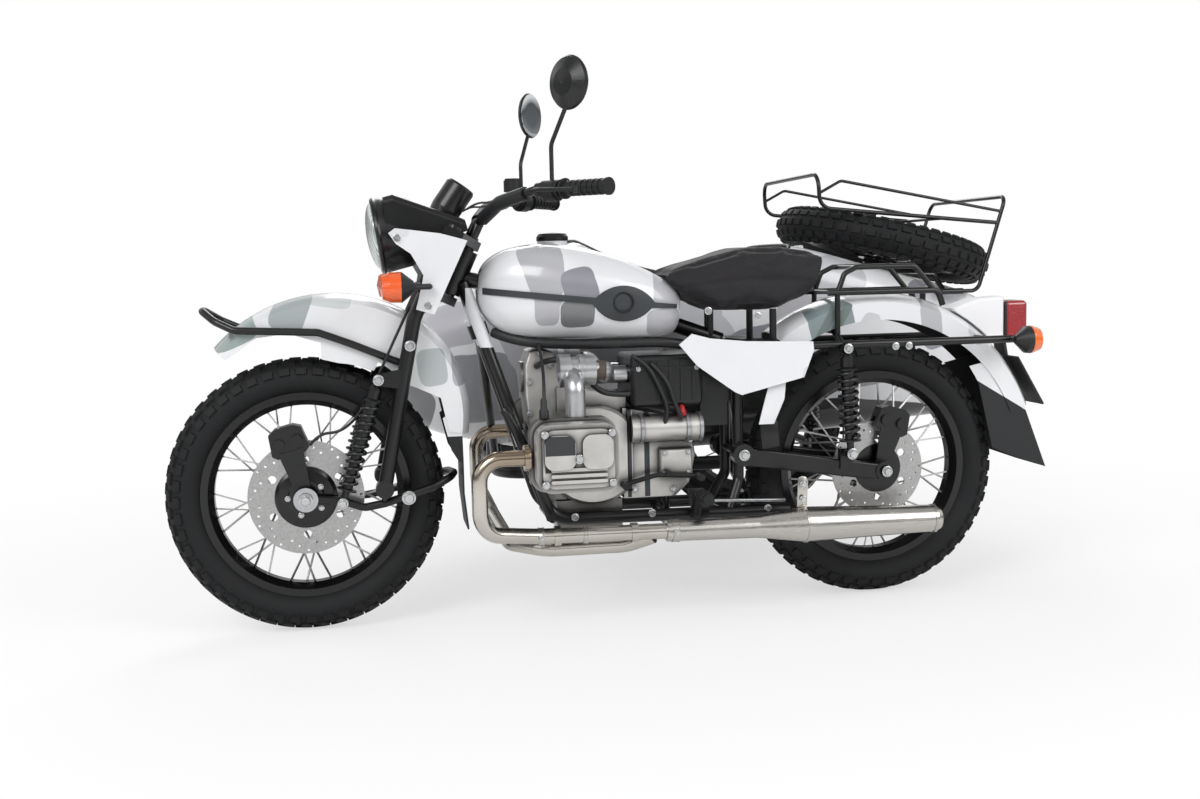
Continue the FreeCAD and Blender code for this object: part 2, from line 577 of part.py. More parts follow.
def tank_pads():
    """Rubber knee pads and the strips before and behind them, lying on the tank's sides."""
    skin = tank_body(5).cut(tank_body(SEAT_GAP))
    lens = Part.Wire([Part.Arc(V(32, 0, 797), V(-42, 0, 836), V(-127, 0, 792)).toShape(),
                      Part.Arc(V(-127, 0, 792), V(-52, 0, 748), V(32, 0, 797)).toShape()])
    pads = []
    for side in SIDES:
        lens_prism = Part.Face(lens).extrude(V(0, side * 200, 0))
        strip = plate([(290, 838), (290, 822), (20, 792), (-100, 780), (-190, 776), (-190, 786), (-100, 796),
                       (20, 808)], side * 60, side * 140)
        tool = lens_prism.multiFuse([strip]).common(block(-198, 291, *sorted((side * 30, side * 200)), 730, 850))
        pads.append(max(skin.common(tool).Solids, key=lambda solid: solid.Volume))
    return apart(pads)


def filler_cap():
    return turned([(0, 0), (40, 0), (40, 10), (34, 18), (0, 21)], V(CAP_X, 0, CAP_Z + SEAT_GAP), V(0, 0, 1))


def saddle():
    """Bench saddle, its nose resting over the back of the tank."""
    outline = [(-150, 858), (-215, 882), (-362, 921), (-470, 922), (-580, 903), (-562, 822),
               (-470, SADDLE_BASE_Z), (-290, SADDLE_BASE_Z), (-208, 806)]
    bench = plate(outline, -SADDLE_HALF, 2 * SADDLE_HALF)
    edges = [edge for edge in bench.Edges if edge.BoundBox.ZMin > 850 and edge.BoundBox.YLength < 1]
    return bench.makeFillet(24, edges).cut(tank_body(3))


def seat_rack():
    """Small carrier behind the saddle: two side tubes with raised rails and cross bars."""
    low_z, high_z = 803.0, 867.0
    pieces = []
    for side in SIDES:
        y = side * SEAT_RACK_Y
        pieces.append(tube([V(-592, y, low_z), V(-890, y, low_z), V(-904, y, 764)], 8, 20))
        pieces.append(tube([V(-618, y, low_z), V(-636, y, 852), V(-668, y, high_z), V(-826, y, high_z),
                            V(-880, y, low_z)], 7, 20))
        post = rod(V(REAR_SHOCK_TOP_X, y, 684), V(REAR_SHOCK_TOP_X, y, low_z), 7)
        pieces.append(post.cut(rear_hoop(SUBRAIL_R - 2 + SEAT_GAP)).common(
            block(-700, -500, -100, 100, 692, 900)))
    for x, z, radius in ((-617, low_z, 6), (-888, low_z, 6), (-684, high_z, 5), (-747, high_z, 5), (-810, high_z, 5)):
        pieces.append(rod(V(x, -SEAT_RACK_Y, z), V(x, SEAT_RACK_Y, z), radius))
    foot = rod(V(-888, 0, low_z), V(-888, 0, 750), 8)
    pieces.append(foot.cut(rod(REAR_AXLE - V(0, 60, 0), REAR_AXLE + V(0, 60, 0), REAR_FENDER_R + SEAT_GAP)))
    return fuse(pieces)


def fender_arc(radius, half, crown, skirt, angle0, angle1, centre):
    """Sheet fender turned about its centre, from angle0 to angle1 in degrees above the front."""
    wall = SHEET
    outer = [V(radius - skirt, -half, 0), V(radius - crown, -half, 0)]
    outer_arc = Part.Arc(V(radius - crown, -half, 0), V(radius, 0, 0), V(radius - crown, half, 0))
    inner_arc = Part.Arc(V(radius - crown, half - wall, 0), V(radius - wall, 0, 0),
                         V(radius - crown, wall - half, 0))
    lines = [Part.LineSegment(outer[0], outer[1]), outer_arc,
             Part.LineSegment(V(radius - crown, half, 0), V(radius - skirt, half, 0)),
             Part.LineSegment(V(radius - skirt, half, 0), V(radius - skirt, half - wall, 0)),
             Part.LineSegment(V(radius - skirt, half - wall, 0), V(radius - crown, half - wall, 0)),
             inner_arc,
             Part.LineSegment(V(radius - crown, wall - half, 0), V(radius - skirt, wall - half, 0)),
             Part.LineSegment(V(radius - skirt, wall - half, 0), outer[0])]
    face = Part.Face(Part.Wire([line.toShape() for line in lines]))
    face.rotate(V(0, 0, 0), V(0, 1, 0), -angle0)
    solid = face.revolve(V(0, 0, 0), V(0, 1, 0), -(angle1 - angle0))
    solid.translate(centre)
    return solid


def rear_fender():
    """Fender round the rear wheel, with a rubber flap inside its tail."""
    shell = fender_arc(REAR_FENDER_R, REAR_FENDER_HALF, 26, 72, 52, REAR_FENDER_END, REAR_AXLE)
    reach = REAR_FENDER_R - 29
    top = []
    for turn in (140, 150, REAR_FENDER_END):
        angle = math.radians(turn)
        top.append((REAR_AXLE.x + reach * math.cos(angle), REAR_AXLE.z + reach * math.sin(angle)))
    outline = top + [(-1204, 323), (-1099, 361), (-1051, 382), (-1011, 556), (-985, 600)]
    return fuse([shell, flap(outline, REAR_FENDER_HALF - SHEET + 0.5)])


def side_covers():
    outline = [(-184, 687), (-217, 713), (-263, 700), (-358, 690), (-530, 684), (-532, 662),
               (-506, 595), (-343, 556), (-325, 564), (-229, 633)]
    covers = []
    for side in SIDES:
        panel = plate(outline, side * COVER_Y, side * 6)
        boss = rod(V(-460, side * (SUBRAIL_Y + SUBRAIL_R + SEAT_GAP), SUBRAIL_Z + 4),
                   V(-460, side * (COVER_Y + 1), SUBRAIL_Z + 4), 7)
        covers.append(fuse([panel, boss]))
    return apart(covers)


def caliper(axle, disc_r, turn, stay_y):
    """Caliper over a disc on the wheel's left, on a plate that reaches from the arm's eye."""
    low, high = disc_r - 26, disc_r + 32
    outline = [(-46, low + 6), (-34, low - 4), (34, low - 4), (46, low + 6), (40, high), (22, high + 10),
               (-22, high + 10), (-40, high)]
    body = plate(outline, DISC_FACE_Y - 18, DISC_THICK + 42)
    slot = plate([(-80, 0), (80, 0), (80, disc_r + 6), (-80, disc_r + 6)], DISC_FACE_Y - 6, DISC_THICK + 12)
    bolts = [rod(V(x, DISC_FACE_Y + DISC_THICK + 20, disc_r + 4), V(x, DISC_FACE_Y + DISC_THICK + 32, disc_r + 4), 13)
             for x in (-22, 22)]
    stay = plate([(-16, 0), (16, 0), (30, low + 8), (-30, low + 8)], stay_y, 7)
    whole = fuse([body.cut(slot), stay] + bolts)
    whole.rotate(V(0, 0, 0), V(0, 1, 0), turn)
    whole.translate(axle)
    return whole


def swingarm():
    """Rear fork: two tapered box arms with pivot and axle eyes, shock pins, caliper and bevel housing."""
    pieces = []
    for side in SIDES:
        y = side * SWING_Y
        arm = plate([(SWING_PIVOT_X + 10, SWING_PIVOT_Z - 27), (SWING_PIVOT_X + 10, SWING_PIVOT_Z + 21),
                     (REAR_AXLE.x + 40, REAR_AXLE.z + 23), (REAR_AXLE.x, REAR_AXLE.z + 16),
                     (REAR_AXLE.x, REAR_AXLE.z - 18), (REAR_AXLE.x + 40, REAR_AXLE.z - 20)],
                    y - SWING_R, 2 * SWING_R)
        edges = [edge for edge in arm.Edges if edge.BoundBox.XLength > 200]
        pieces.append(arm.makeFillet(5, edges))
        pieces.append(rod(V(SWING_PIVOT_X, side * (SWING_Y - 18), SWING_PIVOT_Z),
                          V(SWING_PIVOT_X, side * (SWING_Y + 18), SWING_PIVOT_Z), 28))
        pieces.append(rod(V(REAR_AXLE.x, side * (SWING_Y - 18), REAR_AXLE.z),
                          V(REAR_AXLE.x, side * (SWING_Y + 20), REAR_AXLE.z), 26))
        pieces.append(block(REAR_SHOCK_X - 16, REAR_SHOCK_X + 16, min(y, side * (SWING_Y + 22)),
                            max(y, side * (SWING_Y + 22)), 352, 404))
        pieces.append(rod(V(REAR_SHOCK_X, y, REAR_SHOCK_FOOT_Z),
                          V(REAR_SHOCK_X, side * (REAR_SHOCK_Y + 14), REAR_SHOCK_FOOT_Z), 7))
    pieces.append(rod(V(REAR_AXLE.x, -SWING_Y - 26, REAR_AXLE.z), V(REAR_AXLE.x, SWING_Y + 28, REAR_AXLE.z),
                      AXLE_R))
    pieces.append(caliper(REAR_AXLE, REAR_DISC_R, REAR_CALIPER_TURN, SWING_Y - SWING_R - 6))
    arm = fuse(pieces)
    for side in SIDES:
        arm = arm.cut(rod(V(SWING_PIVOT_X, side * (SWING_Y - 30), SWING_PIVOT_Z),
                          V(SWING_PIVOT_X, side * (SWING_Y + 30), SWING_PIVOT_Z), 8 + RUN_FIT))
    return apart([arm, final_drive()])


def shock(foot, top, pin_r, coil_r):
    """Damper with its spring, between two eyes that sit on pins along y."""
    run = top - foot
    length = run.Length
    turns, first, last = 9, 34.0, length - 54.0
    pitch = (last - first) / turns
    profile = [(0, 4), (8, 4), (8, first - 2), (coil_r, first)]
    for number in range(turns):
        place = first + number * pitch
        profile += [(coil_r, place + 0.5 * pitch), (coil_r - 7, place + 0.6 * pitch),
                    (coil_r - 7, place + 0.9 * pitch), (coil_r, place + 0.98 * pitch)]
    profile += [(coil_r, last), (16, last + 2), (16, length - 26), (8, length - 24), (8, length - 4), (0, length - 4)]
    pieces = [turned(profile, foot, run)]
    for end in (foot, top):
        pieces.append(rod(end - V(0, 9, 0), end + V(0, 9, 0), 14))
    unit = fuse(pieces)
    for end in (foot, top):
        unit = unit.cut(rod(end - V(0, 30, 0), end + V(0, 30, 0), pin_r + RUN_FIT))
    return unit


def rear_shocks():
    units = []
    for side in SIDES:
        y = side * REAR_SHOCK_Y
        units.append(shock(V(REAR_SHOCK_X, y, REAR_SHOCK_FOOT_Z), V(REAR_SHOCK_TOP_X, y, REAR_SHOCK_TOP_Z), 7, 28))
    return apart(units)


def final_drive():
    """Bevel gear housing between the rear hub and the right end of the swingarm."""
    inner = -HUB_HALF - MOVE_GAP
    outer = -SWING_Y + 18 + SEAT_GAP
    bore = AXLE_R + SEAT_GAP
    return turned([(bore, inner), (66, inner), (72, inner - 5), (60, outer), (bore, outer)], REAR_AXLE)


def rear_lamps():
    """Tail lamp on the fender, plate on its strap, and two indicators on the rear rails."""
    housing = plate([(-955, 752), (-1029, 777), (-1101, 780), (-1101, 666), (-1060, 650), (-1000, 650)], -42, 84)
    housing = housing.makeFillet(8, [edge for edge in housing.Edges if edge.BoundBox.YLength < 1])
    lens = block(-1168, -1101, -44, 44, 660, 768)
    lens = lens.makeFillet(12, lens.Edges)
    strap = plate([(-1098, 690), (-1112, 622), (-1188, 492), (-1192, 494), (-1118, 624), (-1106, 690)], -30, 60)
    sign = plate([(-1114, 620), (-1188, 492), (-1192, 494), (-1118, 622)], -90, 180)
    tail = fuse([housing, lens, strap, sign])
    tail = tail.cut(rod(REAR_AXLE + V(0, -150, 0), REAR_AXLE + V(0, 150, 0), REAR_FENDER_R + SEAT_GAP))
    pieces = [tail]
    for side in SIDES:
        y = side * 178
        pod = turned([(0, 0), (10, 0), (34, 26), (36, 42), (30, 62), (0, 72)],
                     V(-1062, y, SUBRAIL_Z), V(-1, 0, 0))
        stalk = rod(V(-1074, side * (SUBRAIL_Y + SUBRAIL_R + SEAT_GAP), SUBRAIL_Z),
                    V(-1074, y, SUBRAIL_Z), 8)
        pieces.append(fuse([pod, stalk]))
    return apart(pieces)


def foot_controls():
    """Ribbed pegs on bent stalks from the lower rails, heel and toe shifter, and the brake pedal."""
    pieces = []
    for side in SIDES:
        stalk = tube([V(PEG_X, side * (RAIL_Y + FRAME_R + 1), RAIL_Z - 4), V(PEG_X, side * 150, RAIL_Z - 4),
                      V(PEG_X, side * 182, PEG_Z), V(PEG_X, side * 270, PEG_Z)], 9, 20)
        rubber = [rod(V(PEG_X, side * 196, PEG_Z), V(PEG_X, side * 276, PEG_Z), 14)]
        for number in range(4):
            y = 202 + 19 * number
            rubber.append(rod(V(PEG_X, side * y, PEG_Z), V(PEG_X, side * (y + 9), PEG_Z), 16))
        pieces.append(fuse([stalk] + rubber))
    pedal_y = 112.0
    shaft = rod(V(-160, 98 + SEAT_GAP, 362), V(-160, pedal_y + 8, 362), 8)
    lever = tube([V(-238, pedal_y, 352), V(-130, pedal_y, 359), V(-45, pedal_y, 338)], 6, 60)
    pads = [rod(V(x, pedal_y - 4, z), V(x, pedal_y + 36, z), 9) for x, z in ((-238, 352), (-45, 338))]
    pieces.append(fuse([shaft, lever] + pads))
    brake = [rod(V(-160, -78 - SEAT_GAP, 376), V(-160, -pedal_y - 8, 376), 8),
             tube([V(-160, -pedal_y, 376), V(-100, -pedal_y, 366), V(-45, -pedal_y, 366)], 6, 30),
             rod(V(-45, -pedal_y + 4, 366), V(-45, -pedal_y - 40, 366), 9)]
    pieces.append(fuse(brake))
    return apart(pieces)


def centre_stand():
    """Two legs on a cross pin below the frame, folded up towards the rear."""
    pivot = V(STAND_X, 0, STAND_Z)
    half_pin = STAND_LUG_Y + 10
    pieces = [rod(pivot + V(0, -half_pin, 0), pivot + V(0, half_pin, 0), STAND_PIN_R)]
    for side in SIDES:
        pieces.append(tube([pivot + V(0, side * 48, 0), pivot + V(-150, side * 56, -24),
                            pivot + V(-208, side * 100, -33)], 10, 60))
    pieces.append(rod(pivot + V(-125, -55, -20), pivot + V(-125, 55, -20), 8))
    return fuse(pieces)


def fork_clamp(low):
    """Clamp across the stem and both legs, its back drawn in round the stem."""
    wide, front = LEG_Y + 24, LEG_AHEAD + 24
    outline = [V(-26, -24, 0), V(30, -wide, 0), V(front, -wide, 0), V(front, wide, 0),
               V(30, wide, 0), V(-26, 24, 0)]
    slab = Part.Face(Part.makePolygon(outline + outline[:1])).extrude(V(0, 0, CLAMP_THICK))
    slab.Placement = FreeCAD.Placement(on_axis(low, 0, 0), FreeCAD.Rotation(V(0, 1, 0), -RAKE))
    return slab


def fork():
    """Stem, two clamps and two bent legs that carry the leading link and the shocks."""
    pieces = [rod(on_axis(-HEAD_HALF - CLAMP_THICK - MOVE_GAP, 0, 0),
                  on_axis(HEAD_HALF + CLAMP_THICK + MOVE_GAP + 8, 0, 0), STEM_R)]
    pieces.append(fork_clamp(-HEAD_HALF - MOVE_GAP - CLAMP_THICK))
    pieces.append(fork_clamp(HEAD_HALF + MOVE_GAP))
    shock_top = V(FRONT_SHOCK_TOP_X, 0, FRONT_SHOCK_TOP_Z)
    leg_x = PIVOT_X - (FRONT_SHOCK_TOP_Z - PIVOT_Z) * 0.215
    for side in SIDES:
        y = side * LEG_Y
        pieces.append(tube([on_axis(HEAD_HALF + MOVE_GAP + CLAMP_THICK + 8, LEG_AHEAD, y),
                            on_axis(-LEG_BEND_DROP, LEG_AHEAD + 4, y), V(PIVOT_X, y, PIVOT_Z)], LEG_R, 120))
        pieces.append(rod(V(PIVOT_X, side * (LEG_Y - LEG_R - 2), PIVOT_Z),
                          V(PIVOT_X, side * (LEG_Y + 20), PIVOT_Z), 22))
        pieces.append(rod(V(PIVOT_X, side * (ARM_Y - 14), PIVOT_Z), V(PIVOT_X, y, PIVOT_Z), 8))
        for cheek in (-15, 10):
            pieces.append(plate([(leg_x, shock_top.z - 24), (shock_top.x, shock_top.z - 14),
                                 (shock_top.x + 12, shock_top.z), (shock_top.x, shock_top.z + 14),
                                 (leg_x, shock_top.z + 24)], y + cheek, 5))
        pieces.append(rod(shock_top + V(0, y - 15, 0), shock_top + V(0, y + 15, 0), 6))
    return fuse(pieces)


def front_link():
    """Leading link: two arms joined by a loop behind the wheel, with the axle at their front ends."""
    half = []
    for side in SIDES:
        y = side * ARM_Y
        half.append(tube([V(FRONT_AXLE.x, y, FRONT_AXLE.z), V(FRONT_SHOCK_X, y, FRONT_SHOCK_Z),
                          V(596, y, 312), V(PIVOT_X, y, 320), V(430, side * 84, 352),
                          V(384, side * 62, 372), V(371, 0, 374)], ARM_R, 40))
        half.append(rod(V(FRONT_AXLE.x, side * (ARM_Y - 8), FRONT_AXLE.z),
                        V(FRONT_AXLE.x, side * (ARM_Y + 14), FRONT_AXLE.z), 22))
        half.append(rod(V(PIVOT_X, side * (ARM_Y - ARM_R), PIVOT_Z),
                        V(PIVOT_X, side * (LEG_Y - LEG_R - 2 - SEAT_GAP), PIVOT_Z), 20))
        half.append(rod(V(PIVOT_X, y, PIVOT_Z), V(PIVOT_X, y, 320), 8))
        half.append(rod(V(FRONT_SHOCK_X, y, FRONT_SHOCK_Z),
                        V(FRONT_SHOCK_X, side * (LEG_Y + 14), FRONT_SHOCK_Z), 6))
    half.append(rod(V(FRONT_AXLE.x, -ARM_Y - 22, FRONT_AXLE.z), V(FRONT_AXLE.x, ARM_Y + 22, FRONT_AXLE.z),
                    AXLE_R))
    half.append(caliper(FRONT_AXLE, FRONT_DISC_R, FRONT_CALIPER_TURN, ARM_Y - ARM_R))
    link = fuse(half)
    for side in SIDES:
        link = link.cut(rod(V(PIVOT_X, side * (ARM_Y - 30), PIVOT_Z), V(PIVOT_X, side * (ARM_Y + 30), PIVOT_Z),
                            8 + RUN_FIT))
    return link


def front_shocks():
    units = []
    for side in SIDES:
        y = side * LEG_Y
        units.append(shock(V(FRONT_SHOCK_X, y, FRONT_SHOCK_Z), V(FRONT_SHOCK_TOP_X, y, FRONT_SHOCK_TOP_Z), 6, 24))
    return apart(units)


def flap(outline, half):
    """Rubber flap folded round the back of a wheel: a back sheet with two side wings."""
    moved = [(x + FLAP_THICK, z) for x, z in outline]
    lowest = min(z for x, z in outline)
    inner = plate([(x, z if z > lowest else z - 20) for x, z in moved], FLAP_THICK - half, 2 * (half - FLAP_THICK))
    return plate(outline, -half, 2 * half).cut(inner)


def front_fender():
    """High fender on the fork: long crown, deep sides behind, rubber flap below its tail."""
    front = V(FRONT_FENDER_X, 0, FRONT_FENDER_Z)
    seam = math.radians(FRONT_FENDER_SEAM)
    rear = front + V(math.cos(seam), 0, math.sin(seam)) * (FRONT_FENDER_R - FRONT_TAIL_R)
    crown = 22
    shell = fuse([fender_arc(FRONT_FENDER_R, FRONT_FENDER_HALF, crown, 168, 42, FRONT_FENDER_SEAM, front),
                  fender_arc(FRONT_TAIL_R, FRONT_FENDER_HALF, crown, 142, FRONT_FENDER_SEAM, 190, rear)])
    below = [(990, 640), (903, 686), (835, 732), (760, 740), (684, 716), (684, 676), (557, 643), (471, 604),
             (401, 571), (381, 474), (381, 300), (990, 300)]
    shell = shell.cut(plate(below, -200, 400))
    pieces = [shell]
    for side in SIDES:
        pieces.append(rod(V(474, side * (FRONT_FENDER_HALF - 1), 702),
                          V(474, side * (LEG_Y - LEG_R - SEAT_GAP), 702), 7))
    inside = FRONT_FENDER_HALF - SHEET
    wings = [(351, 484), (350, 408), (360, 408), (379, 440), (398, 520), (372, 540)]
    pieces.append(flap(wings, inside + 0.5))
    hanging = [(350, 420), (350, 330), (341, 240), (345, 239), (354, 330), (354, 420)]
    pieces.append(plate(hanging, -inside - 0.5, 2 * inside + 1))
    return fuse(pieces)


def fender_guard():
    """Bent tube round the front of the fender, its ends on the fork legs."""
    foot = V(483, 84.5, 656)
    points = [foot, V(613, 86, 712), V(690, 88, 742), V(885, 88, 752), V(930, 74, 774), V(962, 30, 798)]
    loop = points + [mirror_point(point) for point in reversed(points)]
    pieces = [tube(loop, 9, 40)]
    for side in SIDES:
        pieces.append(rod(V(foot.x + 3, side * foot.y, foot.z + 1),
                          V(foot.x + 3, side * (LEG_Y - LEG_R - SEAT_GAP), foot.z + 1), 7))
    return fuse(pieces)


def headlamp():
    """Headlamp with its black nacelle over the upper clamp and the instrument on top."""
    axis = V(math.cos(math.radians(LAMP_DROP)), 0, -math.sin(math.radians(LAMP_DROP)))
    rim = V(LAMP_X, 0, LAMP_Z)
    bucket = turned([(0, -LAMP_DEPTH + 30), (60, -LAMP_DEPTH + 36), (LAMP_R - 6, -70), (LAMP_R, -16),
                     (LAMP_R, 0), (LAMP_R - 8, 4), (60, 20), (0, 28)], rim, axis)
    nacelle = plate([(524, 1062), (500, 1068), (329, 1006), (322, 978), (366, 963), (504, 983), (520, 990)],
                    -NACELLE_HALF, 2 * NACELLE_HALF)
    nacelle = nacelle.makeFillet(16, [edge for edge in nacelle.Edges if edge.BoundBox.YLength < 1
                                      and edge.BoundBox.ZMin > 1000])
    clamp = fork_clamp(HEAD_HALF + MOVE_GAP)
    room = fork_clamp(HEAD_HALF + MOVE_GAP)
    room.translate(RAKE_UP * SEAT_GAP)
    nacelle = nacelle.cut([clamp, room])
    for side in SIDES:
        leg = rod(on_axis(0, LEG_AHEAD, side * LEG_Y), on_axis(200, LEG_AHEAD, side * LEG_Y), LEG_R + SEAT_GAP)
        nacelle = nacelle.cut(leg)
    pod = turned([(0, -56), (34, -56), (38, -30), (38, 34), (34, 40), (0, 40)], V(351, 0, 1058), V(-0.58, 0, 0.81))
    pins = [rod(V(500, side * (LAMP_R - 12), 967), V(500, side * (EAR_Y - SEAT_GAP), 967), 7) for side in SIDES]
    return fuse([bucket, nacelle, pod] + pins)


def headlamp_ears():
    outline = [(516, 974), (500, 985), (394, 971), (330, 953), (414, 779), (457, 792), (441, 852), (437, 873),
               (465, 924), (500, 949)]
    ears = []
    for side in SIDES:
        pieces = [plate(outline, side * EAR_Y, side * 4)]
        for along in (38, -100):
            spot = on_axis(along, LEG_AHEAD + 2, 0)
            pieces.append(rod(spot + V(0, side * (LEG_Y + LEG_R + SEAT_GAP), 0), spot + V(0, side * (EAR_Y + 1), 0), 7))
        ears.append(fuse(pieces))
    return apart(ears)


def handlebar():
    """Bent bar on two risers."""
    points = [V(290, 0, 1000), V(290, 60, 1000), V(252, 150, 1040), V(178, 245, 1064),
              V(38, BAR_HALF, 1062)]
    left = tube(points, BAR_R, 40)
    bar = fuse([left, mirrored(left)])
    risers = [rod(on_axis(HEAD_HALF + MOVE_GAP + CLAMP_THICK + SEAT_GAP, 2, side * 45), V(290, side * 45, 1000), 13)
              for side in SIDES]
    return fuse([bar] + risers)


def grip_run(start_share, end_share):
    """Two points along the straight end of the handlebar."""
    bend, end = V(178, 245, 1064), V(38, BAR_HALF, 1062)
    return bend + (end - bend) * start_share, bend + (end - bend) * end_share


def bar_point(share, ahead, up):
    """Point beside the straight end of the left half of the bar, by its share of that run."""
    point, _ = grip_run(share, 1.0)
    return point + V(0.781, 0.625, 0) * ahead + V(0, 0, up)


def hand_controls():
    """Ribbed grips, switch housings with their lever perches, both levers and the brake fluid cup."""
    pieces = []
    for side in SIDES:
        start, end = grip_run(0.42, 1.0)
        run = (end - start).normalize()
        grip = [rod(start, end + run * 6, GRIP_R), rod(start, start + run * 5, GRIP_R + 7),
                rod(end, end + run * 6, GRIP_R + 3)]
        for number in range(6):
            place = start + run * (22 + 17 * number)
            grip.append(rod(place, place + run * 8, GRIP_R + 1.5))
        start, end = grip_run(0.14, 0.38)
        housing = [rod(start, end, SWITCH_R), rod(start + (end - start) * 0.2 + V(0, 0, -4), end - (end - start) * 0.2
                                            + V(0, 0, -4), 24)]
        start, end = grip_run(0.05, 0.13)
        housing.append(rod(start, end, 17))
        housing.append(rod(bar_point(0.10, 0, -2), bar_point(0.10, 34, -2), 8))
        housing.append(tube([bar_point(0.10, 32, -2), bar_point(0.28, 50, -2), bar_point(0.50, 58, -4),
                             bar_point(0.77, 50, -6)], 5, 60))
        housing.append(rod(bar_point(0.77, 50, -14), bar_point(0.77, 50, 2), 7))
        if side < 0:
            housing.append(rod(bar_point(0.09, 4, 6), bar_point(0.09, 4, 30), 12))
            housing.append(rod(bar_point(0.09, 4, 24), bar_point(0.09, 4, 54), 25))
            housing.append(rod(bar_point(0.09, 4, 54), bar_point(0.09, 4, 59), 22))
        bend, tip = grip_run(-0.2, 1.0)
        bore = rod(bend, tip, BAR_R + SEAT_GAP)
        for group in (grip, housing):
            piece = fuse(group).cut(bore)
            pieces.append(piece if side > 0 else mirrored(piece))
    return apart(pieces)


def mirrors():
    pieces = []
    for side in SIDES:
        base, _ = grip_run(0.25, 1.0)
        base = V(base.x, side * base.y, base.z + SWITCH_R + SEAT_GAP)
        head = V(110, side * MIRROR_Y, MIRROR_Z)
        stem = tube([base, base + V(0, 0, 80), head + V(0, 0, -MIRROR_R + 20)], 5, 30)
        turn = math.radians(35)
        facing = V(-math.cos(turn), -side * math.sin(turn), 0)
        shell = turned([(0, -20), (30, -16), (MIRROR_R - 4, -2), (MIRROR_R, 4), (MIRROR_R - 3, 8), (0, 8)],
                       head, facing)
        pieces.append(fuse([stem, shell]))
    return apart(pieces)


def front_indicators():
    pieces = []
    for side in SIDES:
        y = side * 186
        pod = turned([(0, -38), (14, -38), (36, -10), (36, 18), (28, 36), (0, 42)],
                     V(500, y, 846), V(1, 0, 0))
        stalk = tube([V(424, side * (EAR_Y + 4 + SEAT_GAP), 846), V(424, side * 174, 846), V(470, y, 846)], 7, 10)
        pieces.append(fuse([pod, stalk]))
    return apart(pieces)


def side_sections(inset):
    """Cross sections of the sidecar's boat, inset by the wall for the hollow."""
    slope = math.tan(math.radians(DECK_SLOPE))
    stations = [(NOSE_X, 40, 540, 604, 24), (NOSE_X - 30, 92, 470, 676, 60), (NOSE_X - 100, 156, 412, 752, 90),
                (250, 222, 374, 832, 110), (100, 268, 348, 896, 120), (COWL_X, SIDE_HALF - 4, 338, 955, 130),
                (-240, SIDE_HALF, SIDE_FLOOR_Z, 962, 120), (-450, SIDE_HALF, SIDE_FLOOR_Z + 4, 950, 110),
                (DECK_X, SIDE_HALF - 4, SIDE_FLOOR_Z + 28, DECK_Z, 100),
                (-900, SIDE_HALF - 14, SIDE_FLOOR_Z + 44, DECK_Z - 210 * slope, 90),
                (-1100, SIDE_HALF - 40, SIDE_FLOOR_Z + 60, DECK_Z - 410 * slope, 90),
                (-1250, SIDE_HALF - 74, 410, DECK_Z - 560 * slope, 90),
                (TAIL_X, SIDE_HALF - 150, 500, DECK_Z - 650 * slope, 80)]
    wires = []
    for x, half, z0, z1, corner in stations:
        end_inset = inset if x == NOSE_X else (-inset if x == TAIL_X else 0)
        wires.append(round_section(x - end_inset, SIDE_Y, half - inset, z0 + inset, z1 - inset,
                                   corner - inset))
    return wires


def lid_prism(gap):
    """Upright block over the trunk, as large as the lid plus a gap all round."""
    prism = block(LID_REAR_X - gap, LID_FRONT_X + gap, SIDE_Y - LID_HALF - gap, SIDE_Y + LID_HALF + gap,
                  600, 1100)
    edges = [edge for edge in prism.Edges if edge.BoundBox.ZLength > 400]
    return prism.makeFillet(50 + gap, edges)


def side_hull(inset):
    return Part.makeLoft(side_sections(inset), True, False)


def side_shell():
    return side_hull(0).cut(side_hull(SIDE_WALL))


def trunk_zone():
    """Space that holds the deck over the trunk and nothing else."""
    return block(LID_REAR_X - 60, DECK_X - 10, SIDE_Y - 400, SIDE_Y + 400, 700, 1100)


def on_deck(back, up, y):
    """Point behind the deck's front edge along its slope, and up from its surface."""
    slope = math.radians(DECK_SLOPE)
    return V(DECK_X - back * math.cos(slope) - up * math.sin(slope), SIDE_Y + y,
             DECK_Z - back * math.sin(slope) + up * math.cos(slope))


def cockpit_cut():
    """All that lies above the cockpit's edge."""
    edge = Part.BSplineCurve()
    edge.interpolate([V(COWL_X, 0, 958), V(-110, 0, 912), V(-240, 0, 863), (V(-420, 0, 840)),
                      V(-600, 0, 876), V(DECK_X, 0, DECK_Z + 2)])
    top = Part.makePolygon([V(DECK_X, 0, DECK_Z + 2), V(DECK_X, 0, 1100), V(COWL_X, 0, 1100),
                            V(COWL_X, 0, 958)])
    outline = Part.Wire([edge.toShape()] + top.Edges)
    cutter = Part.Face(outline).extrude(V(0, 2 * SIDE_HALF + 100, 0))
    cutter.translate(V(0, SIDE_Y - SIDE_HALF - 50, 0))
    return cutter


def hinge_leaf(back0, back1, y0, y1):
    """Thin leaf lying on the deck, sunk into its skin."""
    corners = [on_deck(back0, -2, y0), on_deck(back1, -2, y0), on_deck(back1, -2, y1), on_deck(back0, -2, y1)]
    return Part.Face(Part.makePolygon(corners + corners[:1])).extrude(on_deck(0, 6, 0) - on_deck(0, 0, 0))


def hinge_rod(y0, y1, radius):
    return rod(on_deck(HINGE_BACK, HINGE_UP, y0), on_deck(HINGE_BACK, HINGE_UP, y1), radius)


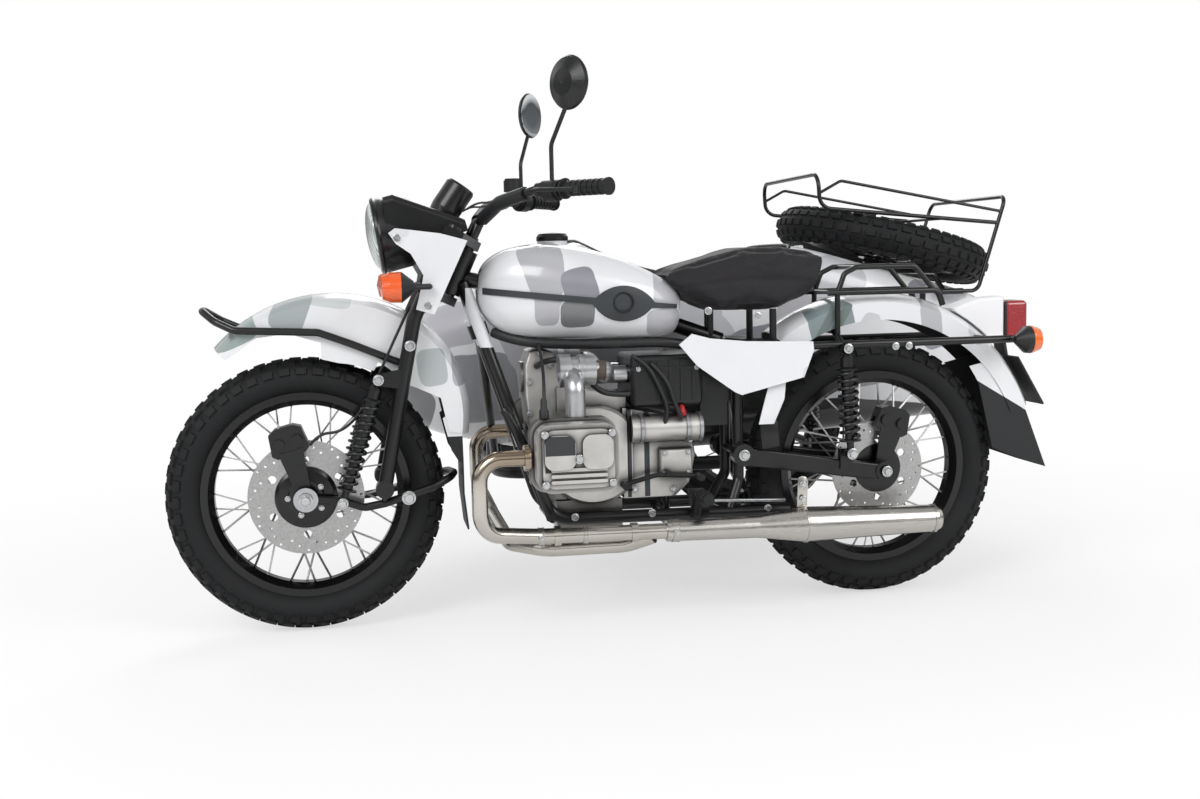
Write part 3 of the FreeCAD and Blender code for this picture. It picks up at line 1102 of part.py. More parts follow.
def side_body():
    """Boat-shaped sidecar body: closed nose, open cockpit, bulkhead and trunk."""
    shell = side_shell().cut(cockpit_cut())
    shell = shell.cut(lid_prism(LID_GAP).common(trunk_zone()))
    bulkhead = side_hull(0).common(block(DECK_X - SIDE_WALL, DECK_X, -1200, -200, 300, 1100))
    pieces = [shell, bulkhead]
    for middle in HINGE_PLACES:
        for outward in SIDES:
            y0, y1 = sorted((middle + outward * 17, middle + outward * 29))
            pieces.append(hinge_rod(y0, y1, HINGE_R))
            pieces.append(hinge_leaf(HINGE_BACK - 30, HINGE_BACK - 1, y0, y1))
        pieces.append(hinge_rod(middle - 25, middle + 25, HINGE_PIN_R))
    return fuse(pieces)


def trunk_lid():
    """Skin of the deck over the trunk, with two hinge knuckles at its front edge."""
    skin = side_shell().common(lid_prism(0)).common(trunk_zone())
    for middle in HINGE_PLACES:
        skin = skin.cut(hinge_rod(middle - 34, middle + 34, HINGE_R + 5))
    pieces = [skin]
    for middle in HINGE_PLACES:
        pieces.append(hinge_rod(middle - 16, middle + 16, HINGE_R))
        pieces.append(hinge_leaf(HINGE_BACK + 1, HINGE_BACK + 40, middle - 16, middle + 16))
    lid = fuse(pieces)
    for middle in HINGE_PLACES:
        lid = lid.cut(hinge_rod(middle - 30, middle + 30, HINGE_PIN_R + RUN_FIT))
    return lid


def clamped_strut(spot, along, tube_r, end, radius):
    """Strut to the chassis from a clamp that grips a frame tube at a spot."""
    half = along.normalize() * 18
    ring = rod(spot - half, spot + half, tube_r + 9)
    hole = rod(spot - half * 6, spot + half * 6, tube_r + SEAT_GAP)
    return fuse([ring, rod(spot, end, radius)]).cut(hole)


def side_frame():
    """Tube chassis under the body, its mounts, shock post and four struts to the motorcycle."""
    z = CHASSIS_Z
    corner = [V(CHASSIS_FRONT_X, CHASSIS_NEAR_Y, z), V(CHASSIS_FRONT_X, CHASSIS_FAR_Y, z),
              V(CHASSIS_REAR_X, CHASSIS_FAR_Y, z), V(CHASSIS_REAR_X, CHASSIS_NEAR_Y, z)]
    middle = V((CHASSIS_FRONT_X + CHASSIS_REAR_X) / 2, CHASSIS_NEAR_Y, z)
    pieces = [tube([middle, corner[0], corner[1], corner[2], corner[3], middle], CHASSIS_R, 90)]
    pieces.append(rod(V(-150, CHASSIS_NEAR_Y, z), V(-150, CHASSIS_FAR_Y, z), CHASSIS_R - 2))
    hull = side_hull(-SEAT_GAP)
    for x in (CHASSIS_FRONT_X, -150, CHASSIS_REAR_X):
        for y in (SIDE_Y - 130, SIDE_Y + 130):
            pieces.append(rod(V(x, y, z), V(x, y, z + 120), 22).cut(hull))
    far = CHASSIS_FAR_Y
    pieces.append(tube([V(-470, far, z), V(-500, far - 55, z + 84), V(SIDE_SHOCK_X + 4, far - 55, SIDE_SHOCK_TOP_Z)],
                       8, 40))
    pieces.append(rod(V(SIDE_SHOCK_X, far - 55, SIDE_SHOCK_TOP_Z),
                      V(SIDE_SHOCK_X, SIDE_SHOCK_Y - 14, SIDE_SHOCK_TOP_Z), 7))
    near = CHASSIS_NEAR_Y
    rail = V(1, 0, 0.01)
    pieces.append(clamped_strut(V(60, -RAIL_Y + 3, RAIL_Z - 0.8), rail, FRAME_R, V(60, near, z), 15))
    pieces.append(clamped_strut(V(-430, -RAIL_Y - 3.4, RAIL_Z - 5.5), rail, FRAME_R, V(-470, near, z), 15))
    down_top = mirror_point(DOWNTUBE_TOP)
    down = V(DOWNTUBE_FOOT_X, -RAIL_Y + 4, RAIL_Z) - down_top
    pieces.append(clamped_strut(down_top + down * 0.2, down, FRAME_R, V(CHASSIS_FRONT_X, near - 90, z), 12))
    pieces.append(clamped_strut(V(SWING_PIVOT_X, -64, 540), V(0, 0, 1), FRAME_R - 2, V(-490, near + 6, z + 6), 12))
    return fuse(pieces)


def side_fender():
    """Fender over the sidecar wheel, on two stays from the body's flank."""
    pieces = [fender_arc(SIDE_FENDER_R, SIDE_FENDER_HALF, 30, 64, 20, 172, SIDE_AXLE)]
    hull = side_hull(-SEAT_GAP)
    inner = SIDE_AXLE.y + SIDE_FENDER_HALF - SHEET
    for x in (-560, -910):
        pieces.append(rod(V(x, inner, 645), V(x, SIDE_Y - 100, 645), 9).cut(hull).Solids[0])
    return fuse(pieces)


def side_seat():
    """Cushion on the floor and backrest against the bulkhead."""
    room = side_hull(SIDE_WALL + SEAT_GAP)
    cushion = block(-520, -130, SIDE_Y - 185, SIDE_Y + 185, SIDE_FLOOR_Z - 20, 510)
    cushion = cushion.makeFillet(30, [edge for edge in cushion.Edges if edge.BoundBox.ZMax > 400]).common(room)
    front, rear = -600.0, DECK_X + SEAT_GAP
    back = plate([(-540, 420), (-528, 520), (front, 890), (-640, 902), (rear, 890), (rear, 420)],
                 SIDE_Y - 215, 430)
    return apart([cushion, back.cut(block(-700, -519.7, SIDE_Y - 300, SIDE_Y + 300, 300, 510.3))])


def side_swingarm():
    """Trailing arm of the sidecar wheel with its axle, shock and cross shaft from the rear drive."""
    y = SIDE_ARM_Y
    pivot = V(CHASSIS_REAR_X + 112, y, CHASSIS_Z)
    arm = rod(pivot, V(SIDE_AXLE.x, y, SIDE_AXLE.z), 14)
    pieces = [arm, rod(pivot - V(0, 15, 0), pivot + V(0, 15, 0), 22)]
    pieces.append(rod(V(SIDE_AXLE.x, y - 16, SIDE_AXLE.z), V(SIDE_AXLE.x, y + 16, SIDE_AXLE.z), 28))
    pieces.append(rod(V(SIDE_AXLE.x, y, SIDE_AXLE.z), V(SIDE_AXLE.x, -TRACK - HUB_HALF - 14, SIDE_AXLE.z), AXLE_R))
    pieces.append(rod(pivot, V(pivot.x, CHASSIS_FAR_Y - CHASSIS_R - SEAT_GAP, pivot.z), 12))
    pieces.append(rod(V(SIDE_AXLE.x, y, SIDE_AXLE.z), V(SIDE_AXLE.x, -SWING_Y - 26 - SEAT_GAP, SIDE_AXLE.z), 12))
    pieces.append(caliper(SIDE_AXLE, REAR_DISC_R, SIDE_CALIPER_TURN, SIDE_ARM_Y + TRACK - 8))
    foot = V(SIDE_SHOCK_X - 26, SIDE_SHOCK_Y, 372)
    share = (foot.x - pivot.x) / (SIDE_AXLE.x - pivot.x)
    pieces.append(rod(V(foot.x, y, pivot.z + (SIDE_AXLE.z - pivot.z) * share), foot, 9))
    pieces.append(rod(foot - V(0, 14, 0), foot + V(0, 14, 0), 7))
    return apart([fuse(pieces), shock(foot, V(SIDE_SHOCK_X, SIDE_SHOCK_Y, SIDE_SHOCK_TOP_Z), 7, 22)])


def side_lamps():
    """Marker lamp at the front of the sidecar's fender and a tail lamp at its back."""
    lamps = []
    for turn, facing in ((44, 1), (140, -1)):
        reach = SIDE_FENDER_R + 24
        spot = SIDE_AXLE + V(reach * math.cos(math.radians(turn)), 0, reach * math.sin(math.radians(turn)))
        lamp = turned([(0, -34), (16, -34), (30, -8), (30, 8), (20, 22), (0, 28)], spot, V(facing, 0, 0))
        lamps.append(lamp.cut(rod(SIDE_AXLE - V(0, 200, 0), SIDE_AXLE + V(0, 200, 0), SIDE_FENDER_R + SEAT_GAP)))
    return apart(lamps)


def spare_turn(shape):
    """Lays a wheel drawn about the y axis at the origin down on the deck."""
    shape.rotate(V(0, 0, 0), V(1, 0, 0), 90)
    shape.rotate(V(0, 0, 0), V(0, 1, 0), -DECK_SLOPE)
    shape.translate(V(SPARE_X, SIDE_Y, SPARE_Z))
    return shape


def luggage_rack():
    """Wire rack over the spare wheel: hoops and rails on the wheel's post and on two rear sockets."""
    def rail_z(x):
        share = (x - RACK_FRONT_X) / (RACK_REAR_X - RACK_FRONT_X)
        return RACK_FRONT_Z + (RACK_REAR_Z - RACK_FRONT_Z) * share

    front_x, rear_x = RACK_FRONT_X, RACK_REAR_X
    pieces = []
    for side in SIDES:
        y = SIDE_Y + side * RACK_HALF
        pieces.append(tube([V(rear_x + 26, y, rail_z(rear_x + 26)), V(front_x - 6, y, rail_z(front_x - 6)),
                            V(front_x, y, RACK_FRONT_TOP_Z), V(front_x, SIDE_Y, RACK_FRONT_TOP_Z)],
                           RACK_R, 40))
        pieces.append(tube([V(SOCKET_X, y, SOCKET_Z), V(SOCKET_X - 109, y, SOCKET_Z), V(rear_x, y, RACK_REAR_TOP_Z),
                            V(rear_x, SIDE_Y, RACK_REAR_TOP_Z)], RACK_R, 30))
        pieces.append(tube([V(front_x + 1, y, 1080), V(front_x - 70, y, 1118), V(rear_x + 12, y, 1020)],
                           RACK_R - 1.5, 24))
    for x in (-950.0, -1150.0):
        pieces.append(rod(V(x, SIDE_Y - RACK_HALF, rail_z(x)), V(x, SIDE_Y + RACK_HALF, rail_z(x)), RACK_R - 1))
    pieces.append(rod(V(-950, SIDE_Y, rail_z(-950)), V(-1150, SIDE_Y, rail_z(-1150)), RACK_R))
    normal = V(-math.sin(math.radians(DECK_SLOPE)), 0, math.cos(math.radians(DECK_SLOPE)))
    spare = V(SPARE_X, SIDE_Y, SPARE_Z)
    hull = side_hull(-SEAT_GAP)
    pieces.append(rod(spare - normal * 110, spare + normal * 86, AXLE_R).cut(hull))
    pieces.append(rod(spare - normal * 110, spare - normal * (HUB_HALF + 1), 40).cut(hull))
    bar_z = 830.0
    cross = [V(SOCKET_X, SIDE_Y + y, z) for y, z in ((-RACK_HALF, SOCKET_Z), (-200, bar_z), (200, bar_z),
                                                    (RACK_HALF, SOCKET_Z))]
    pieces.append(tube(cross, 8, 30))
    for side in SIDES:
        pieces.append(rod(V(SOCKET_X, SIDE_Y + side * 120, bar_z), V(SOCKET_X, SIDE_Y + side * 120, 780), 8).cut(hull))
        pieces.append(rod(V(SOCKET_X + 8, SIDE_Y + side * RACK_HALF, SOCKET_Z),
                          V(SOCKET_X - 60, SIDE_Y + side * RACK_HALF, SOCKET_Z), 9))
    return fuse(pieces)


def build():
    return {
        "frame": frame(),
        "engine_case": engine_case(),
        "cylinders": apart([cylinder(side) for side in SIDES]),
        "intake": intake(),
        "exhaust_pipes": exhaust_pipes(),
        "muffler": muffler(),
        "fuel_tank": fuel_tank(),
        "filler_cap": filler_cap(),
        "tank_pads": tank_pads(),
        "saddle": saddle(),
        "seat_rack": seat_rack(),
        "rear_fender": rear_fender(),
        "side_covers": side_covers(),
        "swingarm": swingarm(),
        "rear_shocks": rear_shocks(),
        "rear_lamps": rear_lamps(),
        "foot_controls": foot_controls(),
        "centre_stand": centre_stand(),
        "fork": fork(),
        "front_link": front_link(),
        "front_shocks": front_shocks(),
        "front_fender": front_fender(),
        "fender_guard": fender_guard(),
        "headlamp": headlamp(),
        "headlamp_ears": headlamp_ears(),
        "handlebar": handlebar(),
        "hand_controls": hand_controls(),
        "mirrors": mirrors(),
        "front_indicators": front_indicators(),
        "front_wheel": wire_wheel(FRONT_AXLE, [(1, FRONT_DISC_R)], True),
        "front_tyre": tyre(FRONT_AXLE),
        "rear_wheel": wire_wheel(REAR_AXLE, [(1, REAR_DISC_R)]),
        "rear_tyre": tyre(REAR_AXLE),
        "side_wheel": wire_wheel(SIDE_AXLE, [(1, REAR_DISC_R)]),
        "side_tyre": tyre(SIDE_AXLE),
        "side_body": side_body(),
        "side_frame": side_frame(),
        "side_fender": side_fender(),
        "side_seat": side_seat(),
        "side_swingarm": side_swingarm(),
        "side_lamps": side_lamps(),
        "trunk_lid": trunk_lid(),
        "spare_wheel": spare_turn(wire_wheel(V(0, 0, 0), [])),
        "spare_tyre": spare_turn(tyre(V(0, 0, 0))),
        "luggage_rack": luggage_rack(),
    }


for name, shape in build().items():
    shape.translate(-ORIGIN)
    shape.exportStep("parts/" + name + ".step")
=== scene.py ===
import math

import bpy
from mathutils import Matrix, Vector, noise


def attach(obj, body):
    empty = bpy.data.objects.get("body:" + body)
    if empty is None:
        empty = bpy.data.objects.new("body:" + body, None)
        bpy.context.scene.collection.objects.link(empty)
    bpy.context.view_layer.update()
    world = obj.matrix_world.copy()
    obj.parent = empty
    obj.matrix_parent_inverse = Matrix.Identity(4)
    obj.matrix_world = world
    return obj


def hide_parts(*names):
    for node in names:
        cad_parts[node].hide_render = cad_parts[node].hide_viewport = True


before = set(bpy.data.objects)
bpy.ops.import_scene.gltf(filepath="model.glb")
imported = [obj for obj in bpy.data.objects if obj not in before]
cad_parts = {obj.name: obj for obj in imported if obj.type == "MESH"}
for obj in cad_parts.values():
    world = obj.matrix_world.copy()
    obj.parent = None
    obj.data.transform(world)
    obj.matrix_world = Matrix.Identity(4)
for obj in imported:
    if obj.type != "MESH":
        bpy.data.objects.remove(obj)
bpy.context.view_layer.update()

# Studio. A pale floor and an even white surround, as for a catalogue picture.
# Two broad lamps and a weaker one behind keep the level plain and show the curves of the paint.
studio = bpy.context.scene
studio.view_settings.view_transform = "Standard"


def tone(code):
    """Linear colour of an sRGB hex value."""
    shares = [int(code[place:place + 2], 16) / 255 for place in (1, 3, 5)]
    return [share / 12.92 if share <= 0.04045 else ((share + 0.055) / 1.055) ** 2.4
            for share in shares] + [1.0]


def feed(node, links):
    """Links outputs to a node's sockets."""
    for socket, source in links.items():
        node.id_data.links.new(source, node.inputs[socket])


def add_node(tree, kind, values=None, links=None, **settings):
    """Shader node with its settings, socket values and links to the outputs that feed it."""
    made = tree.nodes.new("ShaderNode" + kind)
    for name, setting in settings.items():
        setattr(made, name, setting)
    for socket, value in (values or {}).items():
        made.inputs[socket].default_value = value
    feed(made, links or {})
    return made


def pick(*pieces):
    """Selects these pieces and nothing else, with the first one active."""
    bpy.ops.object.select_all(action="DESELECT")
    for piece in pieces:
        piece.select_set(True)
    if pieces:
        bpy.context.view_layer.objects.active = pieces[0]


surround = bpy.data.worlds.new("studio_surround")
studio.world = surround
surround.use_nodes = True
tree = surround.node_tree
tree.nodes.clear()
direction = add_node(tree, "TexCoord")
height = add_node(tree, "SeparateXYZ", links={"Vector": direction.outputs["Generated"]})
bands = add_node(tree, "ValToRGB", links={"Fac": height.outputs["Z"]})
bands.color_ramp.elements[0].position = 0.0
bands.color_ramp.elements[0].color = tone("#8E9092")
bands.color_ramp.elements[1].position = 1.0
bands.color_ramp.elements[1].color = tone("#D8D8D8")
for share, colour in ((0.14, "#5E6062"), (0.26, "#FFFFFF"), (0.55, "#FFFFFF"), (0.72, "#8A8C8E")):
    bands.color_ramp.elements.new(share).color = tone(colour)
soft = add_node(tree, "Background", {"Strength": 0.92}, {"Color": bands.outputs["Color"]})
plain = add_node(tree, "Background", {"Strength": 1.0, "Color": (1, 1, 1, 1)})
ray = add_node(tree, "LightPath")
seen = add_node(tree, "Math", links={0: ray.outputs["Is Camera Ray"], 1: ray.outputs["Is Transmission Ray"]},
                operation="MAXIMUM")
both = add_node(tree, "MixShader", links={0: seen.outputs[0], 1: soft.outputs[0], 2: plain.outputs[0]})
add_node(tree, "OutputWorld", links={"Surface": both.outputs[0]})

pick()
bpy.ops.mesh.primitive_plane_add(size=60, location=(0, 0, -0.0005))
floor = bpy.context.object
floor.name = "studio_floor"
vinyl = bpy.data.materials.new("white_vinyl_floor")
vinyl.use_nodes = True
tree = vinyl.node_tree
shader = tree.nodes["Principled BSDF"]
shader.inputs["Base Color"].default_value = tone("#F2F2F2")
shader.inputs["Roughness"].default_value = 0.9
shader.inputs["Specular IOR Level"].default_value = 0.0
glow = add_node(tree, "Emission", {"Color": (1, 1, 1, 1), "Strength": 1.0})
ray = add_node(tree, "LightPath")
spot = add_node(tree, "TexCoord")
reach = add_node(tree, "VectorMath", links={0: spot.outputs["Object"]}, operation="LENGTH")
fade = add_node(tree, "MapRange", {"From Min": 1.0, "From Max": 3.2, "To Min": 0.6},
                {"Value": reach.outputs["Value"]}, interpolation_type="SMOOTHSTEP")
share = add_node(tree, "Math", links={0: ray.outputs["Is Camera Ray"], 1: fade.outputs[0]},
                 operation="MULTIPLY")
both = add_node(tree, "MixShader", links={0: share.outputs[0], 1: shader.outputs[0], 2: glow.outputs[0]})
feed(tree.nodes["Material Output"], {"Surface": both.outputs[0]})
floor.data.materials.append(vinyl)

for name, place, aim, power, width in (("key_lamp", (3.4, 4.6, 4.2), (0.2, 0.3, 0.6), 190, 3.0),
                                       ("fill_lamp", (-3.6, 4.2, 3.2), (-0.3, 0.3, 0.6), 120, 3.0),
                                       ("back_lamp", (-0.5, -4.5, 4.2), (0, 0, 0.6), 110, 3.0)):
    light = bpy.data.lights.new(name, "AREA")
    light.energy = power
    light.size = width
    lamp = bpy.data.objects.new(name, light)
    studio.collection.objects.link(lamp)
    lamp.location = place
    lamp.rotation_euler = (Vector(aim) - Vector(place)).to_track_quat("-Z", "Y").to_euler()

# Camera. It stands at the photograph's place, left of the machine, and is held with a slight roll.
# Places are given in millimetres from the ground point midway between the motorcycle's wheels.
# From below the middle of the whole outfit, that point lies this far ahead and to the left.
AHEAD, ASIDE = 159.66, 399.5


def at(x, y, z):
    """Metres in the frame from bike millimetres."""
    return Vector((x + AHEAD, y + ASIDE, z)) / 1000


camera_data = bpy.data.cameras.new("camera")
camera_data.sensor_width = 36.0
camera_data.lens = 40.734
camera = bpy.data.objects.new("camera", camera_data)
studio.collection.objects.link(camera)
yaw, pitch, roll = math.radians(10.15), math.radians(5.76), math.radians(-1.3)
look = Vector((-math.sin(yaw) * math.cos(pitch), -math.cos(yaw) * math.cos(pitch), -math.sin(pitch)))
level = look.cross(Vector((0, 0, 1))).normalized()
upright = level.cross(look)
right = level * math.cos(roll) + upright * math.sin(roll)
up = upright * math.cos(roll) - level * math.sin(roll)
turn = Matrix((right, up, -look)).transposed().to_4x4()
camera.matrix_world = Matrix.Translation(at(601.7, 3412.9, 893.5)) @ turn
studio.camera = camera

# Tyres. Block-tread road and trail rubber, moulded in one.
# The side walls are smooth and the lugs stand 6 mm proud.
# The spare is the same tyre, laid on the trunk's slope.
WHEEL_PLACES = {"front": at(735, 0, 340), "rear": at(-735, 0, 340), "side": at(-735, -1140, 340)}
SPARE_PLACE, DECK_SLOPE = at(-1060, -720, 926), math.radians(14.4)


def finish(name, colour, roughness, metallic=0.0, coat=0.0, sheen=0.0):
    """Material of one colour to start from, with its node tree and its shader."""
    material = bpy.data.materials.new(name)
    material.use_nodes = True
    shader = material.node_tree.nodes["Principled BSDF"]
    shader.inputs["Base Color"].default_value = tone(colour)
    shader.inputs["Roughness"].default_value = roughness
    shader.inputs["Metallic"].default_value = metallic
    shader.inputs["Coat Weight"].default_value = coat
    shader.inputs["Coat Roughness"].default_value = 0.04
    shader.inputs["Sheen Weight"].default_value = sheen
    return material, material.node_tree, shader


def weathered(tree, shader, light, dark, patch_mm, grit_mm, depth_mm, rough):
    """Colour that drifts between two tones, uneven gloss, and a fine surface texture; gives the colour."""
    here = add_node(tree, "TexCoord").outputs["Object"]
    drift = add_node(tree, "TexNoise", {"Scale": 1000 / patch_mm, "Detail": 4.0},
                     {"Vector": here}).outputs["Fac"]
    shade = add_node(tree, "Mix", {6: tone(light), 7: tone(dark)}, {0: drift}, data_type="RGBA").outputs[2]
    gloss = add_node(tree, "MapRange", {"To Min": rough[0], "To Max": rough[1]}, {"Value": drift})
    grit = add_node(tree, "TexNoise", {"Scale": 1000 / grit_mm, "Detail": 3.0}, {"Vector": here})
    bump = add_node(tree, "Bump", {"Strength": 0.6, "Distance": depth_mm / 1000},
                    {"Height": grit.outputs["Fac"]})
    feed(shader, {"Base Color": shade, "Roughness": gloss.outputs[0], "Normal": bump.outputs[0]})
    return shade


def worn(name, colour, roughness, light, dark, patch_mm, grit_mm, depth_mm, rough, specular=0.5, **kinds):
    """Finish that is weathered and has nothing else on it."""
    material, tree, shader = finish(name, colour, roughness, **kinds)
    shader.inputs["Specular IOR Level"].default_value = specular
    weathered(tree, shader, light, dark, patch_mm, grit_mm, depth_mm, rough)
    return material


def clad(piece, material):
    """Gives a piece one material."""
    piece.data.materials.clear()
    piece.data.materials.append(material)
    return piece


def settle(piece, material):
    """Gives a finished piece its material and moves its place into its mesh."""
    pick(piece)
    bpy.ops.object.transform_apply(location=True, rotation=True, scale=True)
    return clad(piece, material)


def twin(piece, turn):
    """Copy with its own mesh, moved by a matrix."""
    copy = piece.copy()
    copy.data = piece.data.copy()
    studio.collection.objects.link(copy)
    copy.data.transform(turn)
    return copy


def enrol(piece, name, body, slot, *solids):
    """Names a piece, hangs it on the body that carries it and hides the solids that it stands for; its
    material slot is not used.
    """
    piece.name = piece.data.name = name
    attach(piece, body)
    if solids:
        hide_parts(*solids)
    return piece


# Carbon-black rubber: matt, a little dusty on the lugs.
rubber = worn("tyre_rubber", "#111213", 0.7, "#0D0E0F", "#191A1C", 60, 1.6, 0.3, (0.55, 0.8), 0.32)
TREAD_COLUMNS, TREAD_ROWS = 144, 32
CROWN_R, SECTION_R, SECTION_HALF = 0.2895, 0.0438, 0.0522
LUG_EDGE, LUG_HEIGHT = 0.0012, 0.0062
# Rows of faces that carry lugs, and how many columns each row is shifted round the tyre.
LUG_ROWS = {-1: 0, 0: 0, 2: 1, 3: 1, -3: 1, -4: 1, 5: 2, 6: 2, -6: 2, -7: 2}


def inset(piece, chosen, *steps):
    """Insets the faces that a test picks, in steps of thickness and depth."""
    bpy.ops.object.mode_set(mode="EDIT")
    bpy.ops.mesh.select_mode(type="FACE")
    bpy.ops.mesh.select_all(action="DESELECT")
    bpy.ops.object.mode_set(mode="OBJECT")
    for face in piece.data.polygons:
        face.select = chosen(face)
    bpy.ops.object.mode_set(mode="EDIT")
    for thickness, depth in steps:
        bpy.ops.mesh.inset(thickness=thickness, depth=depth)
    bpy.ops.object.mode_set(mode="OBJECT")


def is_lug(face):
    """Whether a face of the plain tyre carries a lug: two columns in three, in the chosen rows."""
    reach = math.hypot(face.center.x, face.center.z) - CROWN_R
    lean = math.degrees(math.atan2(face.center.y * SECTION_R / SECTION_HALF, reach))
    row = round(lean / (360 / TREAD_ROWS) - 0.5)
    column = int((math.degrees(math.atan2(face.center.z, face.center.x)) % 360) / (360 / TREAD_COLUMNS))
    return row in LUG_ROWS and (column + LUG_ROWS[row]) % 3 != 0


pick()
bpy.ops.mesh.primitive_torus_add(major_segments=TREAD_COLUMNS, minor_segments=TREAD_ROWS,
                                 major_radius=CROWN_R, minor_radius=SECTION_R, rotation=(math.pi / 2, 0, 0))
tyre = bpy.context.object
bpy.ops.object.transform_apply(location=False, rotation=True, scale=False)
bpy.ops.object.mode_set(mode="EDIT")
bpy.ops.mesh.select_all(action="SELECT")
bpy.ops.transform.resize(value=(1, SECTION_HALF / SECTION_R, 1), center_override=(0, 0, 0))
bpy.ops.object.mode_set(mode="OBJECT")
inset(tyre, is_lug, (LUG_EDGE, LUG_HEIGHT))
bpy.ops.object.shade_smooth_by_angle(angle=math.radians(32))
settle(tyre, rubber)
lays = {place: Matrix.Translation(spot) for place, spot in WHEEL_PLACES.items()}
lays["spare"] = (Matrix.Translation(SPARE_PLACE) @ Matrix.Rotation(-DECK_SLOPE, 4, "Y")
                 @ Matrix.Rotation(math.pi / 2, 4, "X"))
for place, lay in lays.items():
    body = "trunk_lid" if place == "spare" else place + "_wheel"
    enrol(twin(tyre, lay), place + "_tyre_rubber", body, "tyre_rubber", place + "_tyre")
bpy.data.objects.remove(tyre)

# Wire wheels. Black enamelled steel rims and hubs, bright spokes, and drilled stainless discs.
# One finish for each wheel reads how far a point is from the axle and colours rim, spokes, disc and hub.
def dress(node, material):
    """Puts a finish on a solid of the frame."""
    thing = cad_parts[node]
    if not thing.material_slots:
        thing.data.materials.append(material)
    for slot in thing.material_slots:
        slot.material = material


def between(tree, value, low, high):
    """Mask of 1 where a value lies between two limits."""
    above = add_node(tree, "Math", {1: low}, {0: value}, operation="GREATER_THAN")
    below = add_node(tree, "Math", {1: high}, {0: value}, operation="LESS_THAN")
    return add_node(tree, "Math", links={0: above.outputs[0], 1: below.outputs[0]},
                    operation="MULTIPLY").outputs[0]


# In metres: radii of the hub, the rim's inside and the front hub's cover, and that cover's two sides.
HUB_R, RIM_R, COVER_R, COVER_SIDES = 0.064, 0.2205, 0.0758, (0.0605, 0.09)


def wheel_finish(name, centre, covered):
    """Enamel, spoke steel and disc steel by distance from the axle at centre."""
    material, tree, shader = finish(name, "#0B0B0C", 0.25)
    here = add_node(tree, "TexCoord").outputs["Object"]
    offset = add_node(tree, "VectorMath", {1: centre}, {0: here}, operation="SUBTRACT")
    flat = add_node(tree, "VectorMath", {1: (1, 0, 1)}, {0: offset.outputs[0]}, operation="MULTIPLY")
    reach = add_node(tree, "VectorMath", links={0: flat.outputs[0]}, operation="LENGTH").outputs["Value"]
    side = add_node(tree, "SeparateXYZ", links={0: offset.outputs[0]}).outputs["Y"]
    bright = between(tree, reach, HUB_R, RIM_R)
    if covered:
        lid = between(tree, side, *COVER_SIDES)
        near = between(tree, reach, 0.0, COVER_R)
        black = add_node(tree, "Math", links={0: lid, 1: near}, operation="MULTIPLY").outputs[0]
        bright = add_node(tree, "Math", links={0: bright, 1: black}, operation="SUBTRACT",
                          use_clamp=True).outputs[0]
    swirl = add_node(tree, "TexNoise", {"Scale": 220.0, "Detail": 2.0}, {0: here})
    steel = add_node(tree, "Mix", {6: tone("#98979A"), 7: tone("#CBCAC7")}, {0: swirl.outputs["Fac"]},
                     data_type="RGBA")
    colour = add_node(tree, "Mix", {6: tone("#070708")}, {0: bright, 7: steel.outputs[2]}, data_type="RGBA")
    gloss = add_node(tree, "MapRange", {"To Min": 0.22, "To Max": 0.34}, {"Value": bright})
    feed(shader, {"Base Color": colour.outputs[2], "Metallic": bright, "Roughness": gloss.outputs[0]})
    return material


for place in ("front", "rear", "side"):
    dress(place + "_wheel",
          wheel_finish(place + "_wheel_enamel_and_steel", WHEEL_PLACES[place], place == "front"))
# Black baked enamel of the spare's rim, with nothing bright on it that shows.
dress("spare_wheel",
      worn("rim_enamel", "#0B0B0C", 0.25, "#060607", "#0D0E0F", 90, 3, 0.05, (0.2, 0.3), coat=0.3))

# Painted panels. Pressed steel, sprayed white and lacquered.
# A winter camouflage of rounded grey patches lies under the lacquer.
# Every patch is a superellipse with its own place, size and tilt, and its edge wavers as a brushed mask does.
WHITE = "#DCDDE0"


